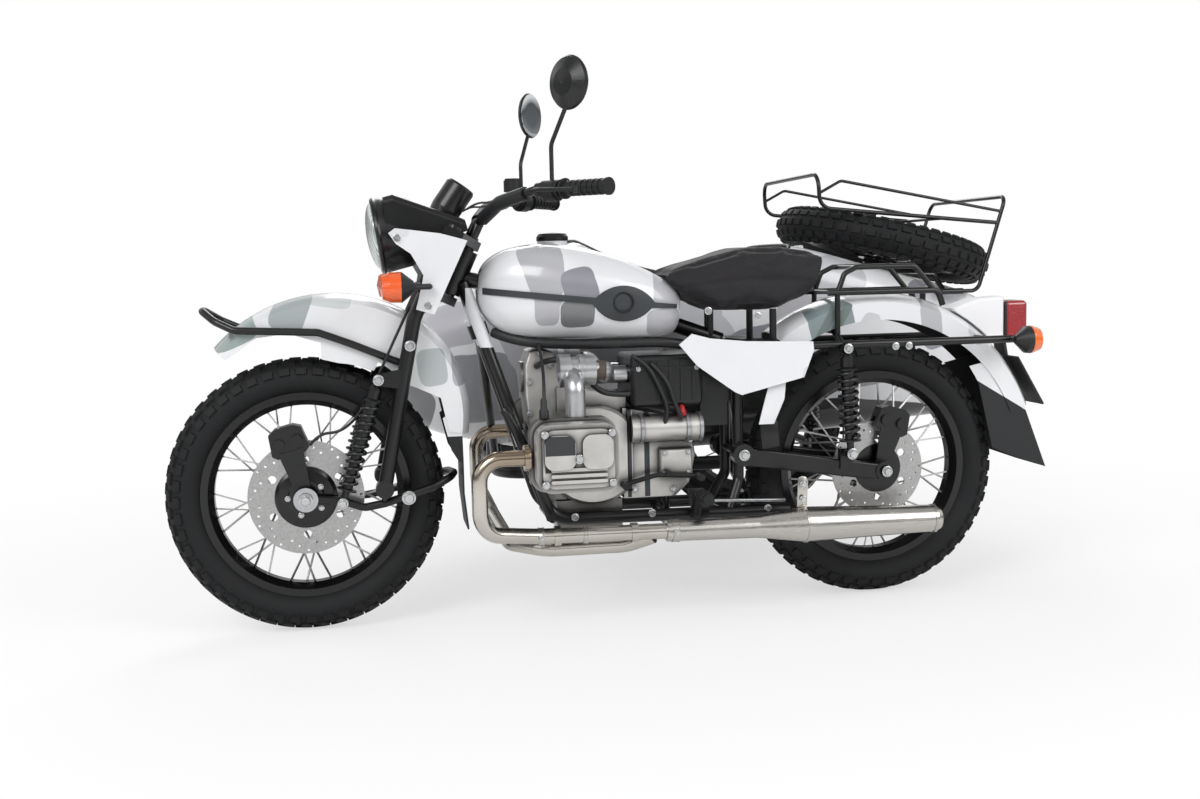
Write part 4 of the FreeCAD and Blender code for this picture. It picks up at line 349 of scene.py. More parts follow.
def painted(name, patches):
    """Lacquered white with patches: middle x and z, half length, half height, tilt and colour."""
    material, tree, shader = finish(name, WHITE, 0.28, coat=0.6)
    here = add_node(tree, "TexCoord").outputs["Object"]
    drift = add_node(tree, "TexNoise", {"Scale": 9.0, "Detail": 3.0}, {"Vector": here})
    layer = add_node(tree, "Mix", {6: tone("#D7D8DB"), 7: tone("#E1E2E4")}, {0: drift.outputs["Fac"]},
                     data_type="RGBA").outputs[2]
    waver = add_node(tree, "VectorMath", {1: (0.5, 0.5, 0.5)}, {0: drift.outputs["Color"]},
                     operation="SUBTRACT").outputs[0]
    bent = add_node(tree, "VectorMath", {1: (0.012, 0.012, 0.012)}, {0: waver, 2: here},
                    operation="MULTIPLY_ADD").outputs[0]
    for x, z, half_x, half_z, tilt, code in patches:
        local = add_node(tree, "Mapping",
                         {"Location": at(x, -ASIDE, z), "Rotation": (0, math.radians(tilt), 0),
                          "Scale": (half_x / 1000, 1000, half_z / 1000)},
                         {"Vector": bent}, vector_type="TEXTURE")
        square = add_node(tree, "VectorMath", links={0: local.outputs[0], 1: local.outputs[0]},
                          operation="MULTIPLY").outputs[0]
        fourth = add_node(tree, "VectorMath", links={0: square, 1: square}, operation="MULTIPLY").outputs[0]
        total = add_node(tree, "VectorMath", {1: (1, 0, 1)}, {0: fourth},
                         operation="DOT_PRODUCT").outputs["Value"]
        inside = add_node(tree, "MapRange", {"From Min": 1.06, "From Max": 0.94}, {"Value": total})
        layer = add_node(tree, "Mix", {7: tone(code)}, {0: inside.outputs[0], 6: layer},
                         data_type="RGBA").outputs[2]
    peel = add_node(tree, "TexNoise", {"Scale": 260.0, "Detail": 1.0}, {"Vector": here})
    bump = add_node(tree, "Bump", {"Strength": 0.12, "Distance": 0.0002}, {"Height": peel.outputs["Fac"]})
    feed(shader, {"Base Color": layer, "Normal": bump.outputs[0]})
    return material


DARK, MIDDLE, PALE = "#6F7072", "#9A9B9F", "#BDBEC2"
dress("fuel_tank", painted("tank_lacquer", [
    (155, 861, 34, 84, 20, "#A9A9AD"), (123, 880, 26, 66, 0, "#A9A9AD"), (140, 786, 30, 44, 0, "#A9A9AD"),
    (60, 838, 43, 44, 14, "#85858D"), (66, 770, 42, 34, 3, DARK), (-164, 826, 38, 52, -8, "#ABABAF"),
    (-154, 745, 48, 32, 4, "#ABABAF")]))
dress("side_covers", painted("side_cover_lacquer", [(-560, 590, 60, 26, -10, "#CFD0D3")]))
dress("headlamp_ears", painted("lamp_panel_lacquer", [(500, 985, 34, 22, 0, "#D0D1D4")]))
dress("side_body", painted("sidecar_lacquer", [
    (440, 610, 70, 120, -34, PALE), (470, 470, 84, 78, -16, DARK), (330, 720, 150, 60, 12, "#B4B4BA"),
    (255, 540, 110, 100, 4, "#8F9094"), (130, 700, 70, 110, 22, "#B4B4BA"), (60, 810, 120, 60, -8, MIDDLE),
    # The long dark patch at (-80, 612) is camouflage that also stands as painted shade, where the flank lies
    # in shadow behind the engine.
    (-240, 500, 90, 70, 12, MIDDLE), (-80, 612, 190, 66, 3, DARK), (-330, 740, 120, 60, -14, PALE),
    (-430, 620, 80, 110, 26, PALE), (-600, 640, 130, 64, 8, "#8A8A92"), (-700, 760, 70, 110, -22, "#A9A9AD"),
    (-800, 840, 100, 60, 6, PALE), (-870, 560, 130, 56, 6, MIDDLE), (-1000, 560, 110, 54, -16, DARK),
    (-1120, 720, 60, 110, 18, "#8A8A92"), (-1180, 770, 80, 50, 18, PALE),
    # The two near-black patches low on the hull are painted shade, where the sidecar's flank lies in shadow
    # under the motorcycle.
    (-380, 430, 330, 110, 0, "#232425"), (-960, 400, 260, 60, -6, "#232425")]))
dress("trunk_lid",
      painted("lid_lacquer", [(-880, 880, 60, 60, 0, PALE), (-1130, 810, 70, 50, 10, "#A9A9AD")]))

# Black chassis parts. Steel tube, welded, blasted and powder coated in satin black, slightly orange-peeled.
# The front tubes of the main frame are coloured white where they show above the engine, as a painted
# highlight on the black tube.
def read_place(tree):
    """Outputs of a point's place on the object: whole, and split into x, y and z."""
    here = add_node(tree, "TexCoord").outputs["Object"]
    return here, add_node(tree, "SeparateXYZ", links={0: here}).outputs


enamel = worn("powder_coat", "#0A0A0B", 0.34, "#060607", "#101112", 70, 2.2, 0.12, (0.26, 0.4), 0.4, coat=0.2)
for node in ("side_frame", "swingarm", "fork", "front_link", "fender_guard", "handlebar", "centre_stand",
             "luggage_rack", "seat_rack", "side_swingarm", "headlamp", "filler_cap"):
    dress(node, enamel)
highlit_powder_coat, tree, shader = finish("powder_coat_with_painted_highlight", "#0A0A0B", 0.34, coat=0.2)
shader.inputs["Specular IOR Level"].default_value = 0.4
black = weathered(tree, shader, "#060607", "#101112", 70, 2.2, 0.12, (0.26, 0.4))
here, axes = read_place(tree)
# Painted highlight: a box round the front tubes above the engine turns the black to white.
ahead = between(tree, axes["X"], at(205, 0, 0).x, at(330, 0, 0).x)
raised = between(tree, axes["Z"], 0.690, 0.838)
highlight_band = add_node(tree, "Math", links={0: ahead, 1: raised}, operation="MULTIPLY")
painted_highlight = add_node(tree, "Mix", {7: tone(WHITE)}, {0: highlight_band.outputs[0], 6: black}, data_type="RGBA")
feed(shader, {"Base Color": painted_highlight.outputs[2]})
dress("frame", highlit_powder_coat)

# Engine. Sand-cast aluminium, tumbled and left bare, so its skin is finely pitted; its hollows are darkened
# with painted shade.
# The rocker covers and the starter are die-cast and smoother; machined faces are brighter.
def within(tree, axes, low, high):
    """Mask of 1 inside a box, from its low and high corners in bike millimetres."""
    masks = [between(tree, axes[axis], (a + shift) / 1000, (b + shift) / 1000)
             for axis, a, b, shift in zip("XYZ", low, high, (AHEAD, ASIDE, 0))]
    pair = add_node(tree, "Math", links={0: masks[0], 1: masks[1]}, operation="MULTIPLY")
    return add_node(tree, "Math", links={0: pair.outputs[0], 1: masks[2]}, operation="MULTIPLY").outputs[0]


def cast_finish(name, recesses):
    """Bare casting with painted shade in its hollows; recesses, given by low and high corners, are coloured
    dark grey.
    """
    material, tree, shader = finish(name, "#B4B5B7", 0.36, metallic=0.9)
    layer = weathered(tree, shader, "#BBB9B6", "#E2E0DC", 40, 1.2, 0.2, (0.28, 0.46))
    here, axes = read_place(tree)
    for low, high in recesses:
        layer = add_node(tree, "Mix", {7: tone("#4C4D4F")}, {0: within(tree, axes, low, high), 6: layer},
                         data_type="RGBA").outputs[2]
    # Painted shade: ambient occlusion darkens the colour to near black in hollows and corners.
    hollow = add_node(tree, "AmbientOcclusion", {"Distance": 0.035}, samples=8)
    depth = add_node(tree, "Math", {1: 2.3}, {0: hollow.outputs["AO"]}, operation="POWER")
    painted_shade = add_node(tree, "Mix", {6: tone("#131211")}, {0: depth.outputs[0], 7: layer}, data_type="RGBA")
    feed(shader, {"Base Color": painted_shade.outputs[2]})
    return material


dress("engine_case", cast_finish("cast_aluminium_case", [((-72, -95, 300), (-62, 95, 540)),
                                                         ((-120, 40, 300), (-106, 99, 520))]))
dress("cylinders", cast_finish("cast_aluminium_heads", [
    ((116, 361, 455), (186, 400, 500)), ((116, 340, 415), (186, 366, 440)),
    ((-20, 361, 440), (20, 361.5, 441)), ((-20, -400, 415), (186, -361, 440))]))
alloy = worn("machined_aluminium", "#B9BABC", 0.3, "#B2B3B5", "#C8C9CB", 60, 0.9, 0.02, (0.22, 0.34),
             metallic=0.9)
intake_mix, tree, shader = finish("aluminium_bodies_and_nylon_box", "#B9BABC", 0.3)
layer = weathered(tree, shader, "#A9AAAC", "#CBCCCE", 60, 1.4, 0.04, (0.24, 0.36))
here, axes = read_place(tree)
box = add_node(tree, "Math", {1: at(-67, 0, 0).x}, {0: axes["X"]}, operation="LESS_THAN")
mixed = add_node(tree, "Mix", {7: tone("#161718")}, {0: box.outputs[0], 6: layer}, data_type="RGBA")
metal = add_node(tree, "Math", {0: 0.9}, {1: box.outputs[0]}, operation="SUBTRACT", use_clamp=True)
feed(shader, {"Base Color": mixed.outputs[2], "Metallic": metal.outputs[0]})
dress("intake", intake_mix)

# Exhaust. Stainless tube, mandrel bent, welded and polished; the muffler's shell is brushed along its length.
# Near the ports the heat has tinted the pipes straw and brown.
exhaust, tree, shader = finish("polished_stainless_steel", "#C9C5BE", 0.16, metallic=1.0)
shade = weathered(tree, shader, "#BAB5AC", "#D6D2CB", 120, 1.0, 0.03, (0.12, 0.26))
here, axes = read_place(tree)
port = add_node(tree, "MapRange", {"From Min": 0.36, "From Max": 0.455, "To Max": 0.75}, {"Value": axes["Z"]})
tint = add_node(tree, "Mix", {7: tone("#8A6F4E")}, {0: port.outputs[0], 6: shade}, data_type="RGBA")
feed(shader, {"Base Color": tint.outputs[2]})
dress("exhaust_pipes", exhaust)
brushed, tree, shader = finish("brushed_stainless_steel", "#C6C3BE", 0.24, metallic=1.0)
here = add_node(tree, "TexCoord").outputs["Object"]
along = add_node(tree, "Mapping", {"Scale": (6, 420, 420)}, {"Vector": here})
lines = add_node(tree, "TexNoise", {"Scale": 1.0, "Detail": 3.0}, {"Vector": along.outputs[0]}).outputs["Fac"]
shade = add_node(tree, "Mix", {6: tone("#B4B0AA"), 7: tone("#D6D3CE")}, {0: lines}, data_type="RGBA")
gloss = add_node(tree, "MapRange", {"To Min": 0.16, "To Max": 0.34}, {"Value": lines})
bump = add_node(tree, "Bump", {"Strength": 0.15, "Distance": 0.0001}, {"Height": lines})
feed(shader, {"Base Color": shade.outputs[2], "Roughness": gloss.outputs[0], "Normal": bump.outputs[0]})
dress("muffler", brushed)

# Rubber and plastic fittings. Moulded nitrile rubber on the tank, pegs and grips.
# The mirrors' shells are grained nylon.
dress("tank_pads", worn("pad_rubber", "#2E3134", 0.5, "#282B2E", "#34383B", 40, 1.4, 0.12, (0.42, 0.56)))
fitting = worn("moulded_rubber", "#121314", 0.5, "#0D0E0F", "#1A1B1D", 40, 1.4, 0.15, (0.42, 0.58), 0.4)
dress("foot_controls", fitting)
dress("hand_controls", fitting)
dress("mirrors", worn("grained_nylon", "#0E0F10", 0.38, "#0A0B0C", "#151617", 50, 1.2, 0.12, (0.3, 0.42)))

# Springs. Oil-black coil springs round steel dampers, between rubber-bushed eyes, one pair at each end.
# The damper's lower rod is ground steel and its upper shroud is black; here the whole damper is drawn in
# black enamel.
def close_edit():
    """Turns all faces outwards and leaves edit mode."""
    bpy.ops.mesh.select_all(action="SELECT")
    bpy.ops.mesh.normals_make_consistent(inside=False)
    bpy.ops.object.mode_set(mode="OBJECT")


def lathe(steps, segments=32):
    """Turned solid standing on the origin, from pairs of radius and height in metres."""
    pick()
    bpy.ops.mesh.primitive_circle_add(vertices=segments, radius=steps[0][0], fill_type="NGON",
                                      location=(0, 0, steps[0][1]))
    piece = bpy.context.object
    bpy.ops.object.mode_set(mode="EDIT")
    for (before, low), (radius, high) in zip(steps, steps[1:]):
        bpy.ops.mesh.extrude_region_move(TRANSFORM_OT_translate={"value": (0, 0, high - low)})
        bpy.ops.transform.resize(value=(radius / before, radius / before, 1), center_override=(0, 0, high))
    close_edit()
    bpy.ops.object.transform_apply(location=True, rotation=True, scale=True)
    bpy.ops.object.shade_smooth_by_angle(angle=math.radians(30))
    return piece


def stand(piece, foot, direction):
    """Turns a piece's upright to a direction and sets its foot."""
    turn = Vector(direction).to_track_quat("Z", "Y").to_matrix().to_4x4()
    piece.data.transform(Matrix.Translation(foot) @ turn)
    return piece


def weld(*pieces):
    """Joins pieces into the first one, each keeping its material."""
    pick(*pieces)
    if len(pieces) > 1:
        bpy.ops.object.join()
    return pieces[0]


spring_steel = worn("black_spring_steel", "#101112", 0.32, "#0D0E0F", "#1C1D1F", 30, 1.2, 0.1, (0.26, 0.42),
                    coat=0.2)
ground = worn("ground_steel", "#B4B5B7", 0.22, "#A2A3A5", "#C6C7C9", 20, 0.8, 0.04, (0.16, 0.3), metallic=1.0)


def spring_unit(foot, top, coil, wire, turns):
    """Damper with its coil spring between two eyes."""
    run = (top - foot).length
    low, high = 0.036, run - 0.056
    damper = clad(lathe([
        (0.009, 0.012), (0.009, low - 0.006), (coil, low - 0.004), (coil, low), (0.013, low + 0.002),
        (0.013, run * 0.45), (0.017, run * 0.46), (0.017, high), (coil, high + 0.001), (coil, high + 0.005),
        (0.017, high + 0.010), (0.017, run - 0.024), (0.010, run - 0.014)]), enamel)
    pick()
    bpy.ops.mesh.primitive_circle_add(vertices=8, radius=wire, fill_type="NGON", rotation=(math.pi / 2, 0, 0),
                                      location=(coil - wire - 0.0005, 0, low + wire))
    coil_piece = bpy.context.object
    bpy.ops.object.transform_apply(location=True, rotation=True, scale=True)
    screw = coil_piece.modifiers.new("coil", "SCREW")
    screw.angle = 2 * math.pi
    screw.iterations = turns
    screw.screw_offset = (high - low - 2 * wire) / turns
    screw.steps = screw.render_steps = 22
    bpy.ops.object.modifier_apply(modifier="coil")
    bpy.ops.object.mode_set(mode="EDIT")
    close_edit()
    bpy.ops.object.shade_smooth_by_angle(angle=math.radians(50))
    parts = [stand(weld(damper, clad(coil_piece, spring_steel)), foot, top - foot)]
    for end in (foot, top):
        eye = clad(lathe([(0.0085, -0.009), (0.014, -0.009), (0.014, 0.009), (0.0085, 0.009)]), enamel)
        parts.append(stand(eye, end, (0, 1, 0)))
    return weld(*parts)


SIDES = (1, "left"), (-1, "right")
for side, word in SIDES:
    enrol(spring_unit(at(647, side * 120, 331), at(552, side * 120, 625), 0.0238, 0.0042, 11),
          "front_spring_" + word, "steering", "black_enamel", "front_shocks")
    enrol(spring_unit(at(-627, side * 154, 396), at(-617, side * 154, 664), 0.0278, 0.0048, 9),
          "rear_spring_" + word, "motorcycle", "black_enamel", "rear_shocks")

# Saddle. One foam cushion under a loose black cover of coated canvas, drawn in below and hemmed with elastic.
# Its sides crease along a seam, and the hem runs in small waves.
canvas, tree, shader = finish("coated_canvas", "#161417", 0.7, sheen=0.08)
shader.inputs["Specular IOR Level"].default_value = 0.35
shader.inputs["Sheen Roughness"].default_value = 0.5
weathered(tree, shader, "#110F12", "#1F1C20", 80, 2.4, 0.25, (0.62, 0.78))
here = add_node(tree, "TexCoord").outputs["Object"]
# Threads lie about 1.6 mm apart, drawn at 4.8 mm so that they show.
warp, weft = (add_node(tree, "TexWave", {"Scale": 66.0, "Distortion": 0.4}, {"Vector": here},
                       bands_direction=axis).outputs["Fac"] for axis in "XY")
weave = add_node(tree, "Math", links={0: warp, 1: weft}, operation="MULTIPLY")
crease = add_node(tree, "TexNoise", {"Scale": 14.0, "Detail": 5.0, "Distortion": 0.8}, {"Vector": here})
soft = add_node(tree, "Math", {1: 9.0}, {0: crease.outputs["Fac"]}, operation="MULTIPLY")
relief = add_node(tree, "Math", links={0: soft.outputs[0], 1: weave.outputs[0]}, operation="ADD")
bump = add_node(tree, "Bump", {"Strength": 0.5, "Distance": 0.0008}, {"Height": relief.outputs[0]})
feed(shader, {"Normal": bump.outputs[0]})


SWELL_FRAMES = 20


def merged(source, apart=False):
    """Copy of a solid with its points merged, and its loose parts made into pieces where asked."""
    piece = twin(source, Matrix())
    piece.hide_render = False
    pick(piece)
    bpy.ops.object.mode_set(mode="EDIT")
    bpy.ops.mesh.select_all(action="SELECT")
    bpy.ops.mesh.remove_doubles(threshold=0.00002)
    if apart:
        bpy.ops.mesh.separate(type="LOOSE")
    bpy.ops.object.mode_set(mode="OBJECT")
    return piece


def cushion(source, voxel, shrink, swell):
    """Padded form from a merged copy of a solid: remeshed, made smaller and blown up by cloth simulation."""
    piece = merged(source)
    remesh = piece.modifiers.new("even", "REMESH")
    remesh.mode = "VOXEL"
    remesh.voxel_size = voxel
    bpy.ops.object.modifier_apply(modifier="even")
    inner = piece.modifiers.new("inner", "DISPLACE")
    inner.strength = -shrink
    inner.mid_level = 0.0
    bpy.ops.object.modifier_apply(modifier="inner")
    before = [vertex.co.copy() for vertex in piece.data.vertices]
    cloth = piece.modifiers.new("swell", "CLOTH")
    cloth.settings.use_pressure = True
    cloth.settings.uniform_pressure_force = 4.0
    cloth.settings.effector_weights.gravity = 0.0
    cloth.point_cache.frame_end = SWELL_FRAMES
    for number in range(1, SWELL_FRAMES + 1):
        studio.frame_set(number)
    bpy.ops.object.modifier_apply(modifier="swell")
    studio.frame_set(1)
    for vertex, start in zip(piece.data.vertices, before):
        shift = vertex.co - start
        if shift.length > swell:
            vertex.co = start + shift * (swell / shift.length)
    smooth = piece.modifiers.new("soft", "SMOOTH")
    smooth.iterations = 4
    bpy.ops.object.modifier_apply(modifier="soft")
    clad(piece, canvas)
    bpy.ops.object.shade_smooth()
    return piece


def press(piece, depth_at):
    """Moves every point along its normal by a depth worked out from its place, in bike millimetres."""
    normals = [vertex.normal.copy() for vertex in piece.data.vertices]
    for vertex, normal in zip(piece.data.vertices, normals):
        spot = vertex.co * 1000 - Vector((AHEAD, ASIDE, 0))
        vertex.co += normal * depth_at(spot, normal) / 1000
    return piece


def saddle_relief(spot, normal):
    """Depth of the cover's side seam, folds, waving hem and the welts along its top."""
    seam = 842 - 0.00045 * (spot.x + 400) ** 2
    line = -3.6 * math.exp(-((spot.z - seam) / 6) ** 2) * min(1, max(0, abs(spot.y) - 84) / 20)
    folds = 3.2 * noise.noise(Vector((spot.x / 74, spot.y / 60, spot.z / 34)))
    waves = 2.6 * noise.noise(Vector((spot.x / 22, spot.y / 24, 3)))
    hem = -2.6 * math.exp(-((spot.z - 784) / 5) ** 2) + waves
    low = max(0.0, min(1.0, (806 - spot.z) / 20))
    welt = -3.0 * math.exp(-((abs(spot.y) - 92) / 4) ** 2) * max(0.0, normal.z)
    return line + folds * (1 - 0.5 * low) + hem * low + welt


seat = press(cushion(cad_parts["saddle"], 0.005, 0.007, 0.009), saddle_relief)
enrol(seat, "saddle_cover", "motorcycle", "seat_cloth", "saddle")

# Passenger's seat in the sidecar. A foam cushion on the floor and a backrest on the bulkhead, in canvas too.
# Both are quilted in upright channels by stitched seams.
SIDE_Y, CHANNEL = -720, 62
merged(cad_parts["side_seat"], apart=True)
halves = sorted(bpy.context.selected_objects, key=lambda half: max(corner[2] for corner in half.bound_box))


def channels(spot, normal):
    """Depth of the seams between channels, and a slight unevenness."""
    offset = (spot.y - SIDE_Y) / CHANNEL
    seam = abs(offset - round(offset)) * CHANNEL
    flat = max(0.0, normal.z, abs(normal.x))
    return -5.0 * math.exp(-(seam / 6) ** 2) * flat + 1.2 * noise.noise(spot / 60)


for half, name in zip(halves, ("side_cushion", "side_backrest")):
    pad = press(cushion(half, 0.006, 0.008, 0.010), channels)
    enrol(pad, name, "motorcycle", "seat_cloth", "side_seat")
for half in halves:
    bpy.data.objects.remove(half)

# Fender flaps. Black moulded rubber hangs from the fenders' tails, so that the white ends in a slanting edge.
# The fenders' inner faces are coloured black as painted shade, and the sidecar's fender has no flap.
def flapped(node, name, patches, edge_x, edge_z, slope, limit, centre):
    """Lacquer above a slanting line and black rubber below it, behind an upright limit; inner faces black as
    painted shade.
    """
    material = painted(name, patches)
    tree = material.node_tree
    shader = tree.nodes["Principled BSDF"]
    lacquer = shader.inputs["Base Color"].links[0].from_socket
    here, axes = read_place(tree)
    start = at(edge_x, 0, edge_z)
    line = add_node(tree, "Math", {1: -slope, 2: slope * start.x - start.z}, {0: axes["X"]},
                    operation="MULTIPLY_ADD")
    over = add_node(tree, "Math", links={0: line.outputs[0], 1: axes["Z"]}, operation="ADD")
    below = add_node(tree, "Math", {1: 0.0}, {0: over.outputs[0]}, operation="LESS_THAN")
    behind = add_node(tree, "Math", {1: at(limit, 0, 0).x}, {0: axes["X"]}, operation="LESS_THAN")
    tail = add_node(tree, "Math", links={0: below.outputs[0], 1: behind.outputs[0]}, operation="MULTIPLY")
    # Painted shade: faces turned towards the fender's centre, on its inside, are coloured black.
    facing = add_node(tree, "TexCoord").outputs["Normal"]
    arm = add_node(tree, "VectorMath", {1: at(*centre)}, {0: here}, operation="SUBTRACT")
    outward = add_node(tree, "VectorMath", links={0: arm.outputs[0], 1: facing}, operation="DOT_PRODUCT")
    inside = add_node(tree, "Math", {1: 0.0}, {0: outward.outputs["Value"]}, operation="LESS_THAN")
    rubber_and_inner_shade = add_node(tree, "Math", links={0: tail.outputs[0], 1: inside.outputs[0]},
                    operation="MAXIMUM").outputs[0]
    flap_and_shade_colour = add_node(tree, "Mix", {7: tone("#17181A")}, {0: rubber_and_inner_shade, 6: lacquer}, data_type="RGBA")
    gloss = add_node(tree, "MapRange", {"To Min": 0.28, "To Max": 0.6}, {"Value": rubber_and_inner_shade})
    bare = add_node(tree, "Math", {0: 0.6, 1: 1.0}, {1: rubber_and_inner_shade}, operation="SUBTRACT", use_clamp=True)
    feed(shader,
         {"Base Color": flap_and_shade_colour.outputs[2], "Roughness": gloss.outputs[0], "Coat Weight": bare.outputs[0]})
    dress(node, material)


flapped("front_fender", "front_fender_lacquer_rubber_and_shade", [
    (668, 830, 62, 30, -10, "#C3C7C8"), (752, 800, 42, 60, -22, "#9CA3A4"), (420, 648, 36, 46, 6, "#AEB4B5"),
    (352, 650, 20, 50, 0, "#A6A8AE"), (892, 745, 58, 34, 22, "#8E9B99")],
        360, 474, 0.0, 420, (690, 0, 420))
flapped("rear_fender", "rear_fender_lacquer_rubber_and_shade", [
    (-608, 716, 62, 66, 14, "#7D8A8C"), (-590, 716, 12, 60, -30, "#66736F"),
    (-626, 724, 12, 60, -30, "#66736F"), (-700, 690, 26, 60, -20, PALE), (-878, 716, 28, 66, 4, "#AEB0B3"),
    (-1015, 690, 30, 30, 30, "#C2C4C7"), (-480, 600, 40, 60, 0, MIDDLE)],
        -1028, 549, 0.606, -985, (-735, 0, 340))
flapped("side_fender", "side_fender_lacquer_and_shade", [
    (-600, 700, 70, 60, -18, "#7D8A8C"), (-800, 740, 60, 40, 10, PALE), (-980, 640, 50, 70, 20, DARK)],
        0, 0, 0.0, -2000, (-735, -1140, 340))

# Lamps. Moulded acrylic lenses, red, amber and clear, on black nylon bases.
# The tail lamp's housing is painted white.
# Each lens has fine upright ribs inside, which show as soft bands.
# Ribs 4.5 mm apart, in the wave pattern's own measure.
LENS_RIBS = 1.0 / 0.0045 / 3.2


def banded(name, zones):
    """Plastic coloured by zones, each with low and high corners, a colour, and whether it is a lens."""
    material, tree, shader = finish(name, "#121314", 0.35)
    here, axes = read_place(tree)
    grain = add_node(tree, "TexNoise", {"Scale": 30.0, "Detail": 3.0}, {"Vector": here}).outputs["Fac"]
    layer = add_node(tree, "Mix", {6: tone("#0E0F10"), 7: tone("#1C1D1F")}, {0: grain},
                     data_type="RGBA").outputs[2]
    clear = None
    for low, high, code, lens in zones:
        mask = within(tree, axes, low, high)
        layer = add_node(tree, "Mix", {7: tone(code)}, {0: mask, 6: layer}, data_type="RGBA").outputs[2]
        if lens and clear:
            mask = add_node(tree, "Math", links={0: clear, 1: mask}, operation="MAXIMUM").outputs[0]
        if lens:
            clear = mask
    rib = add_node(tree, "TexWave", {"Scale": LENS_RIBS}, {"Vector": here},
                   bands_direction="Z").outputs["Fac"]
    height = add_node(tree, "Math", links={0: rib, 1: clear}, operation="MULTIPLY").outputs[0]
    bump = add_node(tree, "Bump", {"Strength": 0.35, "Distance": 0.0006}, {"Height": height}).outputs[0]
    gloss = add_node(tree, "MapRange", {"To Min": 0.4, "To Max": 0.12}, {"Value": clear}).outputs[0]
    feed(shader, {"Base Color": layer, "Normal": bump, "Roughness": gloss, "Coat Weight": clear})
    return material


dress("rear_lamps", banded("tail_lamp_acrylic_and_nylon", [
    ((-1103, -60, 640), (-900, 60, 900), "#E4E4E6", False),
    ((-1108, -60, 640), (-1100, 60, 900), "#161718", False),
    ((-1200, -60, 655), (-1108, 60, 900), "#930F1A", True),
    ((-1200, 130, 500), (-1100, 240, 800), "#E0660C", True),
    ((-1200, -240, 500), (-1100, -130, 800), "#E0660C", True)]))
dress("front_indicators", banded("indicator_acrylic_and_nylon", [
    ((492, -240, 700), (600, 240, 900), "#E0560C", True)]))
dress("side_lamps", banded("marker_acrylic_and_nylon", [
    ((-480, -1300, 500), (0, -900, 800), "#E6E4DC", True),
    ((-1400, -1300, 400), (-1060, -900, 900), "#930F1A", True)]))

# Headlamp lens. Pressed clear glass, domed, with upright prisms, held by a black rim.
# The silvered bowl behind it shows through as a pale metallic tint.
glass, tree, shader = finish("pressed_glass", "#C9D2CC", 0.1, metallic=0.35, coat=1.0)
here = add_node(tree, "TexCoord").outputs["Object"]
prisms = add_node(tree, "TexWave", {"Scale": 38.0}, {"Vector": here}, bands_direction="Y").outputs["Fac"]
tint = add_node(tree, "Mix", {6: tone("#9FAAA5"), 7: tone("#E3E8E4")}, {0: prisms}, data_type="RGBA")
bump = add_node(tree, "Bump", {"Strength": 0.5, "Distance": 0.0012}, {"Height": prisms})
feed(shader, {"Base Color": tint.outputs[2], "Normal": bump.outputs[0]})
beam = Vector((math.cos(math.radians(8)), 0, -math.sin(math.radians(8))))
rim_place = at(535, 0, 971)
LENS_R = 0.0835
dome = [(LENS_R, 0.0042)] + [
    (LENS_R * math.cos(math.radians(turn)), 0.0055 + 0.0245 * math.sin(math.radians(turn)))
    for turn in (6, 18, 30, 42, 54, 66, 78, 86)]


def turned(name, steps, segments, material, place, direction, body, slot):
    """Turned piece, set at a place and along a direction."""
    return enrol(stand(clad(lathe(steps, segments), material), place, direction), name, body, slot)


turned("headlamp_lens", dome, 48, glass, rim_place, beam, "steering", "machined_alloy")
turned("headlamp_rim", [(LENS_R, -0.004), (0.0925, -0.004), (0.0945, 0.001), (0.0925, 0.0065),
                        (0.0865, 0.009), (LENS_R, 0.0065)],
       56, enamel, rim_place, beam, "steering", "black_enamel")

# Mirror glasses. Silvered float glass, cut round and set in the black shells.
# They are turned a little inwards to the rider.
silvered = worn("silvered_glass", "#D5D8DA", 0.04, "#CDD0D2", "#DDDFE1", 60, 4.0, 0.01, (0.03, 0.07),
                metallic=1.0)
for side, word in SIDES:
    facing = Vector((-math.cos(math.radians(35)), -side * math.sin(math.radians(35)), 0))
    turned("mirror_glass_" + word, [(0.0575, 0.0082), (0.0575, 0.0092), (0.0560, 0.0098), (0.0300, 0.0101)],
           40, silvered, at(110, side * 345, 1298), facing, "steering", "machined_alloy")

# Fasteners. Zinc-plated hexagon bolts with washers on the chassis, the engine and the hub.
# One of each size is turned once, then copied to its places.
zinc = worn("zinc_plated_steel", "#C9CACB", 0.26, "#B3B4B5", "#DADBDC", 12, 0.7, 0.05, (0.2, 0.36),
            metallic=0.95)


def bolts(name, size, spots, facing=(0, 1, 0), body="motorcycle"):
    """Bolt heads with washers on one body, at places in bike millimetres."""
    half = size / 2000
    washer = lathe([(half * 1.3, 0), (half * 1.3, 0.0012), (half * 1.2, 0.0016)], 20)
    head = lathe([(half, 0.0014), (half, 0.0014 + half * 0.85), (half * 0.86, 0.0014 + half)], 6)
    one = stand(clad(weld(washer, head), zinc), (0, 0, 0), facing)
    copies = [twin(one, Matrix.Translation(at(*spot))) for spot in spots]
    bpy.data.objects.remove(one)
    return enrol(weld(*copies), name, body, "machined_alloy")


bolts("chassis_bolts", 15, [(-262, 141, 768), (-388, 141, 752), (-754, 141, 664), (-790, 141, 664),
                            (80, 109, 262), (-117, 109, 262), (-420, 109, 258)])
bolts("swingarm_bolts", 22, [(-356, 123, 399), (-735, 130, 340), (-627, 168, 396)])
bolts("hanger_bolts", 13, [(-480, 214, 332), (-480, 214, 296)])
bolts("front_axle_nut", 26, [(735, 114, 340)], body="steering")
bolts("hub_cover_bolts", 11,
      [(735 + 44 * math.cos(math.radians(72 * number)), 75, 340 + 44 * math.sin(math.radians(72 * number)))
       for number in range(5)], body="front_wheel")
